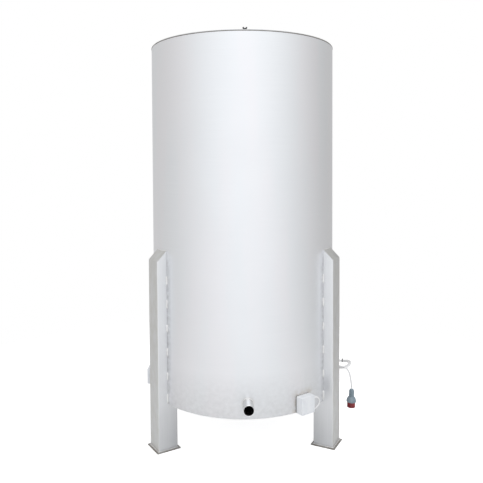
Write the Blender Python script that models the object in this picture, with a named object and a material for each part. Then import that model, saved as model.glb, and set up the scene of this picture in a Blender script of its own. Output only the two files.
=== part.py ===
"""Vertical storage tank: a round stainless steel tank on three box-section legs.

Metres, +Z up. The origin is on the floor, on the tank's upright axis. The outlet
points along -Y. An azimuth is the angle about +Z from -Y towards +X. A piece on the
wall is drawn at azimuth 0, with +X along the wall and -Y outwards, and its station,
an empty on the tank's axis, turns it to its place.
"""

import math

import bmesh
import bpy
import numpy as np
from mathutils import Matrix, Vector

# Clearance between pieces that touch
GAP = 0.0003

# Tank
TANK_RADIUS = 0.600
TANK_BOTTOM = 0.2935
TANK_TOP = 2.5370
WALL_SHEET = 0.0025
BOTTOM_SHEET = 0.0030
LID_SHEET = 0.0035
RIM_HEIGHT = 0.008
RIM_DEPTH = 0.010
PLATE_COUNT = 12
FACETS = 96

# Lid
LID_INSET = 0.002
LID_FLANGE = 0.038
LID_STEP_RUN = 0.015
LID_STEP_RISE = 0.012
SEAM_STRIP = (1.070, 0.034, 0.002)

# Wing knob on the lid: its hub, and one wing's underside, round tip and notch
KNOB_PLACE = -0.419
KNOB_DEPTH = 0.0085
KNOB_HUB = ((0.0125, 0.0), (0.0125, 0.0035), (0.0095, 0.0055), (0.0078, 0.0240))
WING_FOOT = (0.0060, 0.0120)
WING_UNDERSIDE = ((0.0080, 0.0265), (0.0105, 0.0315), (0.0131, 0.0355))
WING_TIP = (0.0098, 0.0394)
WING_TIP_RADIUS = 0.0048
WING_NOTCH = 0.0368

# Legs
LEG_AZIMUTHS = {"left": -60.0, "right": 60.0, "rear": 180.0}
LEG_SIDE = 0.1305
LEG_REACH = 0.6610
LEG_SHEET = 0.0030
LEG_CORNER = 0.0070
CAP_OUTER_HEIGHT = 1.1800
CAP_SLOPE = math.radians(45.0)
FOOT_SIDE = 0.156
FOOT_SHEET = 0.006

# Outlet
OUTLET_RADIUS = 0.03175
OUTLET_BORE = 0.02875
OUTLET_HEIGHT = 0.384
OUTLET_END = 0.698
OUTLET_INNER_END = 0.592

# Junction boxes on the wall
BOX_AZIMUTHS = {"front": 33.75, "left": -93.75, "right": 90.0}
BOX_WIDTH = 0.102
BOX_HEIGHT = 0.104
BOX_TOP = 0.3945
BOX_BODY_DEPTH = 0.036
BOX_COVER_DEPTH = 0.0157
BOX_CORNER = 0.004
DIAL_RADIUS = 0.0300
DIAL_DEPTH = 0.0060
DIAL_HEIGHT = 0.3585

# Cable glands, in the side of a box
GLAND_REACH = 0.0275
LINK_GLAND_HEIGHT = 0.367
LINK_GLAND_LENGTH = 0.014
LINK_GLAND_RADIUS = 0.0090
SUPPLY_GLAND_HEIGHT = 0.3325
SUPPLY_GLAND_LENGTH = 0.034
SUPPLY_GLAND_RADIUS = 0.0120

# Link cable from the front box to the right box, under the tank
LINK_DIAMETER = 0.010
LINK_ARC_RADIUS = 0.500
LINK_DROP = 0.0015
LINK_LEAD_IN = 18.0
CLIP_AZIMUTHS = (57.0, 67.0)
CLIP_LENGTH = 0.012
CLIP_WALL = 0.0015
CLIP_FOOT = 0.010

# Supply cord, coiled flat on the right box in a long oval
CORD_DIAMETER = 0.012
COIL_CENTRE = (0.675, 0.0)
COIL_OUTER = 0.0700
COIL_INNER = 0.0330
COIL_STRETCH = 0.0300
COIL_SIDE_ANGLE = math.radians(25.0)
COIL_STEPS = 48
COIL_CLEARANCE = 0.0008
TIE_ANGLE = 75.0
TIE_WIDTH = 0.005
TIE_SHEET = 0.0013

# Plug that hangs on the supply cord
PLUG_PLACE = (0.7275, -0.0850)
PLUG_TOP = 0.260
NUT_LENGTH = 0.049
NUT_RADIUS = 0.0175
PLUG_BODY_LENGTH = 0.039
PLUG_BODY_RADIUS = 0.0320
COLLAR_LENGTH = 0.035
COLLAR_RADIUS = 0.0272
COLLAR_WALL = 0.0030
COLLAR_FLOOR = 0.0120

ROUND_STEPS = 32


def clear_scene():
    for item in list(bpy.data.objects):
        bpy.data.objects.remove(item, do_unlink=True)


def material(name, colour, roughness, metallic=0.0):
    finish = bpy.data.materials.new(name)
    finish.use_nodes = True
    shader = finish.node_tree.nodes["Principled BSDF"]
    shader.inputs["Base Color"].default_value = (*colour, 1.0)
    shader.inputs["Roughness"].default_value = roughness
    shader.inputs["Metallic"].default_value = metallic
    return finish


def station(name, azimuth):
    """An empty on the tank's axis, turned to an azimuth."""
    place = bpy.data.objects.new(name, None)
    place.rotation_euler.z = math.radians(azimuth)
    bpy.context.scene.collection.objects.link(place)
    return place


def add_piece(name, form, finish, parent=None, smooth=None):
    """Makes a named object from a bmesh, which is freed."""
    bmesh.ops.recalc_face_normals(form, faces=form.faces)
    mesh = bpy.data.meshes.new(name)
    form.to_mesh(mesh)
    form.free()
    if smooth is not None:
        mesh.shade_smooth()
        mesh.set_sharp_from_angle(angle=math.radians(smooth))
    piece = bpy.data.objects.new(name, mesh)
    bpy.context.scene.collection.objects.link(piece)
    piece.parent = parent
    piece.data.materials.append(finish)
    return piece


def add_cutter(name, form, parent=None):
    cutter = add_piece(name, form, bpy.data.materials["steel"], parent)
    cutter.hide_render = True
    cutter.display_type = "WIRE"
    return cutter


def cut(piece, cutter, operation="DIFFERENCE"):
    boolean = piece.modifiers.new("cut", "BOOLEAN")
    boolean.operation = operation
    boolean.solver = "EXACT"
    boolean.object = cutter


def round_edges(piece, width, angle=40.0):
    bevel = piece.modifiers.new("round", "BEVEL")
    bevel.width = width
    bevel.segments = 2
    bevel.limit_method = "ANGLE"
    bevel.angle_limit = math.radians(angle)


def block(low, high):
    form = bmesh.new()
    bmesh.ops.create_cube(form, size=1.0)
    size = Vector(high) - Vector(low)
    centre = (Vector(high) + Vector(low)) / 2
    bmesh.ops.scale(form, vec=size, verts=form.verts)
    bmesh.ops.translate(form, vec=centre, verts=form.verts)
    return form


def prism(outline, low, high, hole=None):
    """Extrudes an outline in X and Y from one height to another, with an optional hole."""
    form = bmesh.new()
    rings = []
    for loop in (outline, hole):
        if loop is None:
            continue
        bottom = [form.verts.new((x, y, low)) for x, y in loop]
        top = [form.verts.new((x, y, high)) for x, y in loop]
        rings.append((bottom, top))
        for i in range(len(loop)):
            j = (i + 1) % len(loop)
            form.faces.new((bottom[i], bottom[j], top[j], top[i]))
    if hole is None:
        form.faces.new(rings[0][0])
        form.faces.new(rings[0][1])
        return form
    for level in (0, 1):
        outer, inner = rings[0][level], rings[1][level]
        for i in range(len(outer)):
            j = (i + 1) % len(outer)
            form.faces.new((outer[i], outer[j], inner[j], inner[i]))
    return form


def turned(profile, start=0.0, sweep=math.tau, steps=ROUND_STEPS):
    """Turns a closed outline of (radius, height) about +Z, all round or over a sweep."""
    form = bmesh.new()
    full = sweep >= math.tau - 1e-9
    columns = []
    axis_points = {}
    for step in range(steps if full else steps + 1):
        turn = start + sweep * step / steps
        column = []
        for index, (radius, height) in enumerate(profile):
            if radius == 0.0 and index in axis_points:
                column.append(axis_points[index])
                continue
            point = form.verts.new((radius * math.sin(turn), -radius * math.cos(turn), height))
            if radius == 0.0:
                axis_points[index] = point
            column.append(point)
        columns.append(column)
    if full:
        columns.append(columns[0])
    for before, after in zip(columns, columns[1:]):
        for i in range(len(profile)):
            j = (i + 1) % len(profile)
            corners = []
            for corner in (before[i], before[j], after[j], after[i]):
                if corner not in corners:
                    corners.append(corner)
            if len(corners) > 2:
                form.faces.new(corners)
    if not full:
        form.faces.new(columns[0])
        form.faces.new(columns[-1])
    return form


def rounded_square(side, corner, steps=3):
    """Points of a square with round corners, centred on the origin."""
    points = []
    inner = side / 2 - corner
    for quarter in range(4):
        middle = math.radians(90.0 * quarter + 45.0)
        x = inner * math.copysign(1.0, math.cos(middle))
        y = inner * math.copysign(1.0, math.sin(middle))
        for step in range(steps + 1):
            turn = math.radians(90.0 * (quarter + step / steps))
            points.append((x + corner * math.cos(turn), y + corner * math.sin(turn)))
    return points


def on_wall(azimuth, reach, along, height):
    """World point at a distance from the axis, moved along the wall, seen from outside."""
    turn = math.radians(azimuth)
    x = reach * math.sin(turn) + along * math.cos(turn)
    y = -reach * math.cos(turn) + along * math.sin(turn)
    return (x, y, height)


def smooth_route(points, spacing):
    """Evenly spaced points of a natural cubic spline through the route's own points."""
    given = np.array(points, dtype=float)
    spans = np.linalg.norm(np.diff(given, axis=0), axis=1)
    along = np.concatenate(([0.0], np.cumsum(spans)))
    count = len(given)
    system = np.eye(count)
    right = np.zeros_like(given)
    for i in range(1, count - 1):
        before = along[i] - along[i - 1]
        after = along[i + 1] - along[i]
        system[i, i - 1 : i + 2] = (before, 2 * (before + after), after)
        right[i] = 6 * ((given[i + 1] - given[i]) / after - (given[i] - given[i - 1]) / before)
    bend = np.linalg.solve(system, right)

    def at(place):
        i = int(np.clip(np.searchsorted(along, place) - 1, 0, count - 2))
        span = along[i + 1] - along[i]
        a = (along[i + 1] - place) / span
        b = 1.0 - a
        curve = (a**3 - a) * bend[i] + (b**3 - b) * bend[i + 1]
        return a * given[i] + b * given[i + 1] + curve * span**2 / 6

    pieces = max(2, round(along[-1] / spacing))
    return [at(along[-1] * k / pieces) for k in range(pieces + 1)]


def add_tube(name, route, diameter, finish, spacing):
    """A cable as a curve with a round bevel and closed ends."""
    points = smooth_route(route, spacing)
    curve = bpy.data.curves.new(name, "CURVE")
    curve.dimensions = "3D"
    curve.bevel_depth = diameter / 2
    curve.bevel_resolution = 2
    curve.use_fill_caps = True
    spline = curve.splines.new("POLY")
    spline.points.add(len(points) - 1)
    for target, point in zip(spline.points, points):
        target.co = (*point, 1.0)
    curve.materials.append(finish)
    tube = bpy.data.objects.new(name, curve)
    bpy.context.scene.collection.objects.link(tube)
    return tube


def add_materials():
    material("steel", (0.66, 0.67, 0.68), 0.38, 1.0)
    material("lid_steel", (0.62, 0.63, 0.64), 0.42, 1.0)
    material("leg_steel", (0.56, 0.57, 0.57), 0.42, 1.0)
    material("pipe_steel", (0.68, 0.69, 0.70), 0.22, 1.0)
    material("foot_steel", (0.34, 0.34, 0.33), 0.50, 1.0)
    material("white_plastic", (0.80, 0.82, 0.84), 0.40)
    material("dial_plastic", (0.62, 0.63, 0.63), 0.45)
    material("white_cable", (0.80, 0.80, 0.80), 0.45)
    material("black_plastic", (0.015, 0.015, 0.017), 0.40)
    material("plug_grey", (0.23, 0.30, 0.35), 0.45)
    material("plug_red", (0.22, 0.03, 0.035), 0.40)


def wall_top():
    lid_underside = TANK_TOP - LID_SHEET
    return lid_underside - GAP


def add_wall():
    """The round wall, as rolled plates side by side with a thick rim along their top."""
    steel = bpy.data.materials["steel"]
    outer = TANK_RADIUS
    inner = TANK_RADIUS - WALL_SHEET
    rim_inner = TANK_RADIUS - RIM_DEPTH
    top = wall_top()
    profile = [
        (outer, TANK_BOTTOM),
        (outer, top),
        (rim_inner, top),
        (rim_inner, top - RIM_HEIGHT),
        (inner, top - RIM_HEIGHT),
        (inner, TANK_BOTTOM),
    ]
    sweep = math.tau / PLATE_COUNT
    joint = GAP / TANK_RADIUS
    plates = []
    for number in range(PLATE_COUNT):
        start = sweep * (number - 0.5) + joint / 2
        form = turned(profile, start, sweep - joint, FACETS // PLATE_COUNT)
        plates.append(add_piece(f"wall_plate_{number + 1:02d}", form, steel, smooth=20.0))
    hole_radius = OUTLET_RADIUS + GAP
    reach = OUTLET_RADIUS
    hole = turned([(0.0, -reach), (hole_radius, -reach), (hole_radius, reach), (0.0, reach)])
    cutter = add_cutter("outlet_hole", hole)
    cutter.rotation_euler.x = math.radians(90.0)
    cutter.location = (0.0, -TANK_RADIUS, OUTLET_HEIGHT)
    cut(plates[0], cutter)


def add_bottom():
    radius = TANK_RADIUS - WALL_SHEET - GAP
    top = TANK_BOTTOM + BOTTOM_SHEET
    profile = [(0.0, TANK_BOTTOM), (radius, TANK_BOTTOM), (radius, top), (0.0, top)]
    add_piece("tank_bottom", turned(profile, steps=FACETS), bpy.data.materials["steel"], smooth=30.0)


def lid_panel_top():
    return TANK_TOP + LID_STEP_RISE


def add_lid():
    """Two half lids with a raised panel, a strip over their seam, and a knob."""
    steel = bpy.data.materials["lid_steel"]
    edge = TANK_RADIUS - LID_INSET
    step_out = edge - LID_FLANGE
    step_in = step_out - LID_STEP_RUN
    underside = TANK_TOP - LID_SHEET
    top = lid_panel_top()
    profile = [
        (0.0, top - LID_SHEET),
        (step_in, top - LID_SHEET),
        (step_out, underside),
        (edge, underside),
        (edge, TANK_TOP),
        (step_out, TANK_TOP),
        (step_in, top),
        (0.0, top),
    ]
    for name, start, side in (("lid_front", -math.pi / 2, -1), ("lid_rear", math.pi / 2, 1)):
        half = add_piece(name, turned(profile, start, math.pi, FACETS // 2), steel, smooth=20.0)
        half.location.y = side * GAP / 2
    length, width, thickness = SEAM_STRIP
    low = (-length / 2, -width / 2, top + GAP)
    high = (length / 2, width / 2, top + GAP + thickness)
    add_piece("lid_seam_strip", block(low, high), steel)
    add_knob(top + GAP)


def add_knob(seat):
    """A wing knob: two wings with round tips, drawn as an outline, joined to a turned hub."""
    tip_x, tip_z = WING_TIP
    right = [WING_FOOT, *WING_UNDERSIDE]
    for degrees in range(-20, 161, 20):
        turn = math.radians(degrees)
        x = tip_x + WING_TIP_RADIUS * math.cos(turn)
        right.append((x, tip_z + WING_TIP_RADIUS * math.sin(turn)))
    left = [(-x, z) for x, z in reversed(right)]
    form = prism(right + [(0.0, WING_NOTCH)] + left, -KNOB_DEPTH / 2, KNOB_DEPTH / 2)
    form.transform(Matrix.Rotation(math.radians(90.0), 4, "X"))
    knob = add_piece("lid_knob", form, bpy.data.materials["black_plastic"], smooth=35.0)
    knob.location = (0.0, KNOB_PLACE, seat)
    round_edges(knob, 0.0015, 60.0)
    hub_top = KNOB_HUB[-1][1]
    hub = add_cutter("knob_hub", turned([(0.0, 0.0), *KNOB_HUB, (0.0, hub_top)], steps=24))
    hub.location = knob.location
    cut(knob, hub, "UNION")


def add_legs():
    """Box-section legs, coped round the tank, with a sloped cap and a foot plate."""
    steel = bpy.data.materials["leg_steel"]
    middle = LEG_REACH - LEG_SIDE / 2
    tank_space = turned(
        [
            (0.0, TANK_BOTTOM - GAP),
            (TANK_RADIUS + GAP, TANK_BOTTOM - GAP),
            (TANK_RADIUS + GAP, TANK_TOP),
            (0.0, TANK_TOP),
        ],
        steps=FACETS,
    )
    tank_cutter = add_cutter("tank_space", tank_space)
    top = CAP_OUTER_HEIGHT + LEG_SIDE * math.tan(CAP_SLOPE)
    cap_drop = (LEG_SHEET + GAP) / math.cos(CAP_SLOPE)
    for name, azimuth in LEG_AZIMUTHS.items():
        place = station(f"{name}_leg_place", azimuth)
        outer = rounded_square(LEG_SIDE, LEG_CORNER)
        inner = rounded_square(LEG_SIDE - 2 * LEG_SHEET, LEG_CORNER - LEG_SHEET)
        form = prism(outer, FOOT_SHEET + GAP, top, hole=inner)
        bmesh.ops.translate(form, vec=(0.0, -middle, 0.0), verts=form.verts)
        leg = add_piece(f"leg_{name}", form, steel, place, smooth=30.0)
        above = slope_outline(CAP_OUTER_HEIGHT - cap_drop, LEG_SIDE * 2)
        slope_cutter = add_cutter(f"{name}_leg_slope", extruded_across(above, LEG_SIDE), place)
        cut(leg, slope_cutter)
        cut(leg, tank_cutter)
        thickness = LEG_SHEET / math.cos(CAP_SLOPE)
        cap_outline = slope_outline(CAP_OUTER_HEIGHT - thickness, thickness, overhang=0.0)
        cap = add_piece(f"leg_cap_{name}", extruded_across(cap_outline, LEG_SIDE / 2), steel, place)
        cut(cap, tank_cutter)
        half = FOOT_SIDE / 2
        foot = block((-half, -middle - half, 0.0), (half, -middle + half, FOOT_SHEET))
        add_piece(f"foot_plate_{name}", foot, bpy.data.materials["foot_steel"], place)


def slope_outline(height, thickness, overhang=0.02):
    """A band that rises from the leg's outer face towards the tank, as (y, z) points."""
    outer = -LEG_REACH - overhang
    inner = -LEG_REACH + LEG_SIDE + overhang
    rise = math.tan(CAP_SLOPE)
    start = height - overhang * rise
    end = height + (LEG_SIDE + overhang) * rise
    return [(outer, start), (inner, end), (inner, end + thickness), (outer, start + thickness)]


def extruded_across(outline, half_width):
    """Extrudes (y, z) points along X, to both sides of the leg's middle."""
    form = bmesh.new()
    sides = []
    for x in (-half_width, half_width):
        side = [form.verts.new((x, y, z)) for y, z in outline]
        form.faces.new(side)
        sides.append(side)
    for i in range(len(outline)):
        j = (i + 1) % len(outline)
        form.faces.new((sides[0][i], sides[0][j], sides[1][j], sides[1][i]))
    return form


def add_outlet():
    profile = [
        (OUTLET_BORE, OUTLET_INNER_END),
        (OUTLET_RADIUS, OUTLET_INNER_END),
        (OUTLET_RADIUS, OUTLET_END),
        (OUTLET_BORE, OUTLET_END),
    ]
    form = turned(profile)
    form.transform(Matrix.Rotation(math.radians(90.0), 4, "X"))
    pipe = add_piece("outlet_pipe", form, bpy.data.materials["pipe_steel"], smooth=40.0)
    pipe.location.z = OUTLET_HEIGHT


def gland_form(radius, length, bore, taper):
    """A cable gland along +Z: a hexagon nut, a dome and a tapered nose."""
    nut = length * 0.38
    profile = [
        (0.0, 0.0),
        (radius, 0.0),
        (radius, nut),
        (radius * 0.86, nut * 1.15),
        (radius * 0.80, length * taper),
        (bore, length),
        (0.0, length),
    ]
    return turned(profile, steps=18)


def add_gland(name, place, side, height, radius, length, bore, taper):
    """A gland in the side of a box: side is 1 or -1, along or against the wall's +X."""
    form = gland_form(radius, length, bore, taper)
    form.transform(Matrix.Rotation(math.radians(90.0 * side), 4, "Y"))
    finish = bpy.data.materials["white_plastic"]
    gland = add_piece(name, form, finish, place, smooth=35.0)
    reach = TANK_RADIUS + GLAND_REACH
    gland.location = (side * (BOX_WIDTH / 2 + GAP), -reach, height)


def add_boxes():
    """Plastic junction boxes against the wall, each with a cover and its glands."""
    plastic = bpy.data.materials["white_plastic"]
    half = BOX_WIDTH / 2
    low = BOX_TOP - BOX_HEIGHT
    back = TANK_RADIUS + GAP
    split = back + BOX_BODY_DEPTH
    front = split + GAP + BOX_COVER_DEPTH
    places = {}
    for name, azimuth in BOX_AZIMUTHS.items():
        place = station(f"{name}_box_place", azimuth)
        places[name] = place
        body = block((-half, -split, low), (half, -back, BOX_TOP))
        cover = block((-half, -front, low), (half, -split - GAP, BOX_TOP))
        round_edges(add_piece(f"{name}_box_body", body, plastic, place), BOX_CORNER / 4)
        round_edges(add_piece(f"{name}_box_cover", cover, plastic, place), BOX_CORNER)
        side = -1 if name == "right" else 1
        bore = LINK_DIAMETER / 2 + 0.001
        add_gland(
            f"{name}_box_gland", place, side, LINK_GLAND_HEIGHT,
            LINK_GLAND_RADIUS, LINK_GLAND_LENGTH, bore, 0.8,
        )
    bore = CORD_DIAMETER / 2 + 0.001
    add_gland(
        "supply_gland", places["right"], 1, SUPPLY_GLAND_HEIGHT,
        SUPPLY_GLAND_RADIUS, SUPPLY_GLAND_LENGTH, bore, 0.55,
    )
    add_dial(places["left"], front + GAP)


def add_dial(place, seat):
    """A thermostat dial on the left box, with a bar grip across it."""
    rim = 0.0015
    profile = [
        (0.0, 0.0),
        (DIAL_RADIUS, 0.0),
        (DIAL_RADIUS, DIAL_DEPTH - rim),
        (DIAL_RADIUS - rim, DIAL_DEPTH),
        (0.0, DIAL_DEPTH),
    ]
    form = turned(profile)
    form.transform(Matrix.Rotation(math.radians(90.0), 4, "X"))
    dial = add_piece("thermostat_dial", form, bpy.data.materials["dial_plastic"], place, 35.0)
    dial.location = (0.0, -seat, DIAL_HEIGHT)


def link_height():
    """Height of the link cable's middle where it runs under the tank."""
    return TANK_BOTTOM - LINK_DROP - LINK_DIAMETER / 2


def link_route():
    """The link cable: out of the front box, down and under the tank, and up to the right box."""
    start = BOX_WIDTH / 2 + GAP + LINK_GLAND_LENGTH + GAP
    under = link_height()
    reach = TANK_RADIUS + GLAND_REACH
    loop = [
        (reach, start, LINK_GLAND_HEIGHT),
        (reach, start + 0.015, LINK_GLAND_HEIGHT),
        (reach, 0.097, 0.361),
        (reach, 0.1095, 0.346),
        (0.6255, 0.1090, 0.327),
        (0.6200, 0.0970, 0.309),
        (0.6080, 0.0800, 0.2945),
        (0.5900, 0.0670, 0.2850),
        (0.5620, 0.0640, 0.2855),
        (0.5350, 0.0740, under),
    ]
    front = BOX_AZIMUTHS["front"]
    right = BOX_AZIMUTHS["right"]
    route = [on_wall(front, *point) for point in loop]
    arc_start = front + LINK_LEAD_IN
    arc_end = right - LINK_LEAD_IN
    for azimuth in np.linspace(arc_start, arc_end, 7):
        route.append(on_wall(azimuth, LINK_ARC_RADIUS, 0.0, under))
    for reach, along, height in reversed(loop):
        route.append(on_wall(right, reach, -along, height))
    return route


def add_link_cable():
    finish = bpy.data.materials["white_cable"]
    add_tube("link_cable", link_route(), LINK_DIAMETER, finish, 0.013)
    hole = LINK_DIAMETER / 2 + GAP
    outer = hole + CLIP_WALL
    depth = LINK_DIAMETER / 2 + LINK_DROP - GAP
    arch = [math.pi * step / 8 for step in range(9)]
    outline = [(outer + CLIP_FOOT, depth), (outer + CLIP_FOOT, depth - CLIP_WALL)]
    outline.append((outer, depth - CLIP_WALL))
    outline += [(outer * math.cos(turn), -outer * math.sin(turn)) for turn in arch]
    outline.append((-outer, depth - CLIP_WALL))
    outline += [(-outer - CLIP_FOOT, depth - CLIP_WALL), (-outer - CLIP_FOOT, depth)]
    outline.append((-hole, depth))
    outline += [(-hole * math.cos(turn), -hole * math.sin(turn)) for turn in arch]
    outline.append((hole, depth))
    for number, azimuth in enumerate(CLIP_AZIMUTHS, 1):
        form = prism(outline, -CLIP_LENGTH / 2, CLIP_LENGTH / 2)
        form.transform(Matrix.Rotation(math.radians(90.0), 4, "X"))
        form.transform(Matrix.Rotation(math.radians(azimuth + 90.0), 4, "Z"))
        clip = add_piece(f"cable_clip_{number}", form, bpy.data.materials["white_plastic"])
        clip.location = on_wall(azimuth, LINK_ARC_RADIUS, 0.0, link_height())


def coil_point(reach, angle, height):
    """World point of an oval about the coil's centre: angle in degrees from +X towards +Y."""
    turn = math.radians(angle)
    stretch = math.sin(turn) / math.sin(COIL_SIDE_ANGLE)
    stretch = COIL_STRETCH * min(1.0, max(-1.0, stretch))
    x = COIL_CENTRE[0] + reach * math.cos(turn)
    y = COIL_CENTRE[1] + reach * math.sin(turn) + stretch
    return (x, y, height)


def coil_outline(reach):
    angles = [360.0 * step / COIL_STEPS for step in range(COIL_STEPS)]
    return [coil_point(reach, angle, 0.0)[:2] for angle in angles]


def add_supply_cord():
    """The supply cord: its rise from the gland, the flat coil, and the drop to the plug."""
    finish = bpy.data.materials["white_cable"]
    half_cord = CORD_DIAMETER / 2
    support = BOX_TOP + GAP
    coil_top = support + CORD_DIAMETER
    ring = prism(coil_outline(COIL_OUTER), support, coil_top, hole=coil_outline(COIL_INNER))
    add_piece("supply_coil", ring, finish, smooth=40.0)

    level = coil_top + GAP + half_cord
    right = BOX_AZIMUTHS["right"]
    start = BOX_WIDTH / 2 + SUPPLY_GLAND_LENGTH + 2 * GAP
    reach = TANK_RADIUS + GLAND_REACH
    lead = [
        on_wall(right, reach, start, SUPPLY_GLAND_HEIGHT),
        on_wall(right, reach, start + 0.018, SUPPLY_GLAND_HEIGHT),
        on_wall(right, 0.6265, start + 0.044, 0.3375),
        on_wall(right, 0.6245, start + 0.064, 0.3520),
        on_wall(right, 0.6225, start + 0.071, 0.3740),
        on_wall(right, 0.6200, start + 0.064, 0.3955),
        on_wall(right, 0.6170, start + 0.045, 0.4090),
        on_wall(right, 0.6140, start + 0.020, 0.4135),
        on_wall(right, 0.6130, 0.0780, level),
        on_wall(right, 0.6165, 0.0470, level),
        on_wall(right, 0.6250, 0.0180, level),
        on_wall(right, 0.6345, -0.0080, level),
        on_wall(right, 0.6385, -0.0280, level),
    ]
    add_tube("supply_lead", lead, CORD_DIAMETER, finish, 0.016)

    beside = COIL_OUTER + COIL_CLEARANCE + half_cord
    low = support + half_cord
    x, y = PLUG_PLACE
    drop = [
        coil_point(beside, 232.0, low),
        coil_point(beside, 248.0, low),
        coil_point(beside, 264.0, low - 0.0005),
        coil_point(beside, 280.0, 0.3940),
        (0.6985, -0.1040, 0.3870),
        (0.7065, -0.1015, 0.3770),
        (0.7125, -0.0985, 0.3640),
        (0.7173, -0.0950, 0.3470),
        (0.7210, -0.0920, 0.3270),
        (0.7245, -0.0885, 0.3050),
        (0.7268, -0.0860, 0.2860),
        (x, y, 0.2720),
        (x, y, PLUG_TOP + GAP),
    ]
    add_tube("supply_drop", drop, CORD_DIAMETER, finish, 0.016)
    add_tie(low)
    add_plug(x, y)


def add_tie(height):
    """A cable tie round the coil's strands on its far side."""
    strands = (COIL_OUTER - COIL_INNER) / 2
    across = strands + GAP
    above = CORD_DIAMETER / 2 + GAP
    corners = ((1, 1), (-1, 1), (-1, -1), (1, -1))
    outer = [(x * (across + TIE_SHEET), y * (above + TIE_SHEET)) for x, y in corners]
    inner = [(x * across, y * above) for x, y in corners]
    form = prism(outer, -TIE_WIDTH / 2, TIE_WIDTH / 2, hole=inner)
    form.transform(Matrix.Rotation(math.radians(90.0), 4, "X"))
    form.transform(Matrix.Rotation(math.radians(TIE_ANGLE), 4, "Z"))
    tie = add_piece("coil_tie", form, bpy.data.materials["black_plastic"])
    tie.location = coil_point(COIL_INNER + strands, TIE_ANGLE, height)


def add_plug(x, y):
    """An industrial plug that hangs on the cord: clamping nut, body and round collar."""
    nut_top = PLUG_TOP
    nut_low = nut_top - NUT_LENGTH
    nut = turned(
        [
            (0.0, nut_low),
            (NUT_RADIUS, nut_low),
            (NUT_RADIUS * 0.97, nut_top - 0.010),
            (NUT_RADIUS * 0.72, nut_top),
            (0.0, nut_top),
        ],
        steps=24,
    )
    body_top = nut_low - GAP
    body_low = body_top - PLUG_BODY_LENGTH
    body = turned(
        [
            (0.0, body_low),
            (PLUG_BODY_RADIUS, body_low),
            (PLUG_BODY_RADIUS, body_low + 0.012),
            (PLUG_BODY_RADIUS * 0.86, body_low + 0.026),
            (NUT_RADIUS * 1.12, body_top - 0.003),
            (NUT_RADIUS, body_top),
            (0.0, body_top),
        ],
        steps=ROUND_STEPS,
    )
    collar_top = body_low - GAP
    collar_low = collar_top - COLLAR_LENGTH
    collar_bore = COLLAR_RADIUS - COLLAR_WALL
    collar = turned(
        [
            (0.0, collar_top - COLLAR_FLOOR),
            (collar_bore, collar_top - COLLAR_FLOOR),
            (collar_bore, collar_low),
            (COLLAR_RADIUS - 0.001, collar_low),
            (COLLAR_RADIUS, collar_low + 0.004),
            (COLLAR_RADIUS, collar_top),
            (0.0, collar_top),
        ],
        steps=ROUND_STEPS,
    )
    grey = bpy.data.materials["plug_grey"]
    red = bpy.data.materials["plug_red"]
    for name, form, finish in (
        ("plug_nut", nut, grey),
        ("plug_body", body, grey),
        ("plug_collar", collar, red),
    ):
        piece = add_piece(name, form, finish, smooth=35.0)
        piece.location = (x, y, 0.0)


def main():
    clear_scene()
    add_materials()
    add_wall()
    add_bottom()
    add_lid()
    add_legs()
    add_outlet()
    add_boxes()
    add_link_cable()
    add_supply_cord()


main()
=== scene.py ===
# %% [markdown]
# # An upright storage tank on three legs
#
# The real object is a satin stainless steel tank, 2.2 m tall, with a flat lid. It stands
# on three box-section legs. A short tube leaves it at the foot of the wall, and three
# plastic boxes on the wall hold its thermostat and wiring. A coiled cord with an
# industrial plug hangs on the right.
#
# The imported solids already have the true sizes, so they are loaded first and never
# moved. Everything in this lesson is made around them, in metres, with +Z up.

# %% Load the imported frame
import math

import bmesh
import bpy
import numpy as np
from mathutils import Matrix, Quaternion, Vector


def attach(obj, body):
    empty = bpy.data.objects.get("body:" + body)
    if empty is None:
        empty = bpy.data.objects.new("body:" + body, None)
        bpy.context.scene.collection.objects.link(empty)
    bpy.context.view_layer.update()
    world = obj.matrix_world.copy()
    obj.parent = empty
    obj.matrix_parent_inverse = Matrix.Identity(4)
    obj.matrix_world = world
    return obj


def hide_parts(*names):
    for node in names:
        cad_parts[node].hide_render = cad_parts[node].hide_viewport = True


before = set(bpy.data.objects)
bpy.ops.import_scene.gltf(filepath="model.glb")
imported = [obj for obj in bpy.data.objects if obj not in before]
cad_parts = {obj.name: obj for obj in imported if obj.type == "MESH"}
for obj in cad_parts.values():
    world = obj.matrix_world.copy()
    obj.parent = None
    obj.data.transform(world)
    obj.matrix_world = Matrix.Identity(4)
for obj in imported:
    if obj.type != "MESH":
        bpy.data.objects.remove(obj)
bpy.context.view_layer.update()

# %% [markdown]
# ## Camera
#
# A camera can be set by eye, or worked out from points whose place is known. Here the
# rims, legs and foot plates gave its place, its heading and its focal length in pixels
# of a picture 483 pixels wide. The principal point lies above the middle, as in a
# cropped photograph, so the lens is shifted a little instead of tilted.

# %% Camera
PICTURE_SIDE = 483
SENSOR = 36.0
FOCAL_PIXELS = 570.36
PRINCIPAL_POINT = (242.67, 190.0)
CAMERA_PLACE = (-0.1613, -3.8566, 1.7330)
HEADING, PITCH, ROLL = math.radians(2.395), 0.03336, -0.00457

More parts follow.
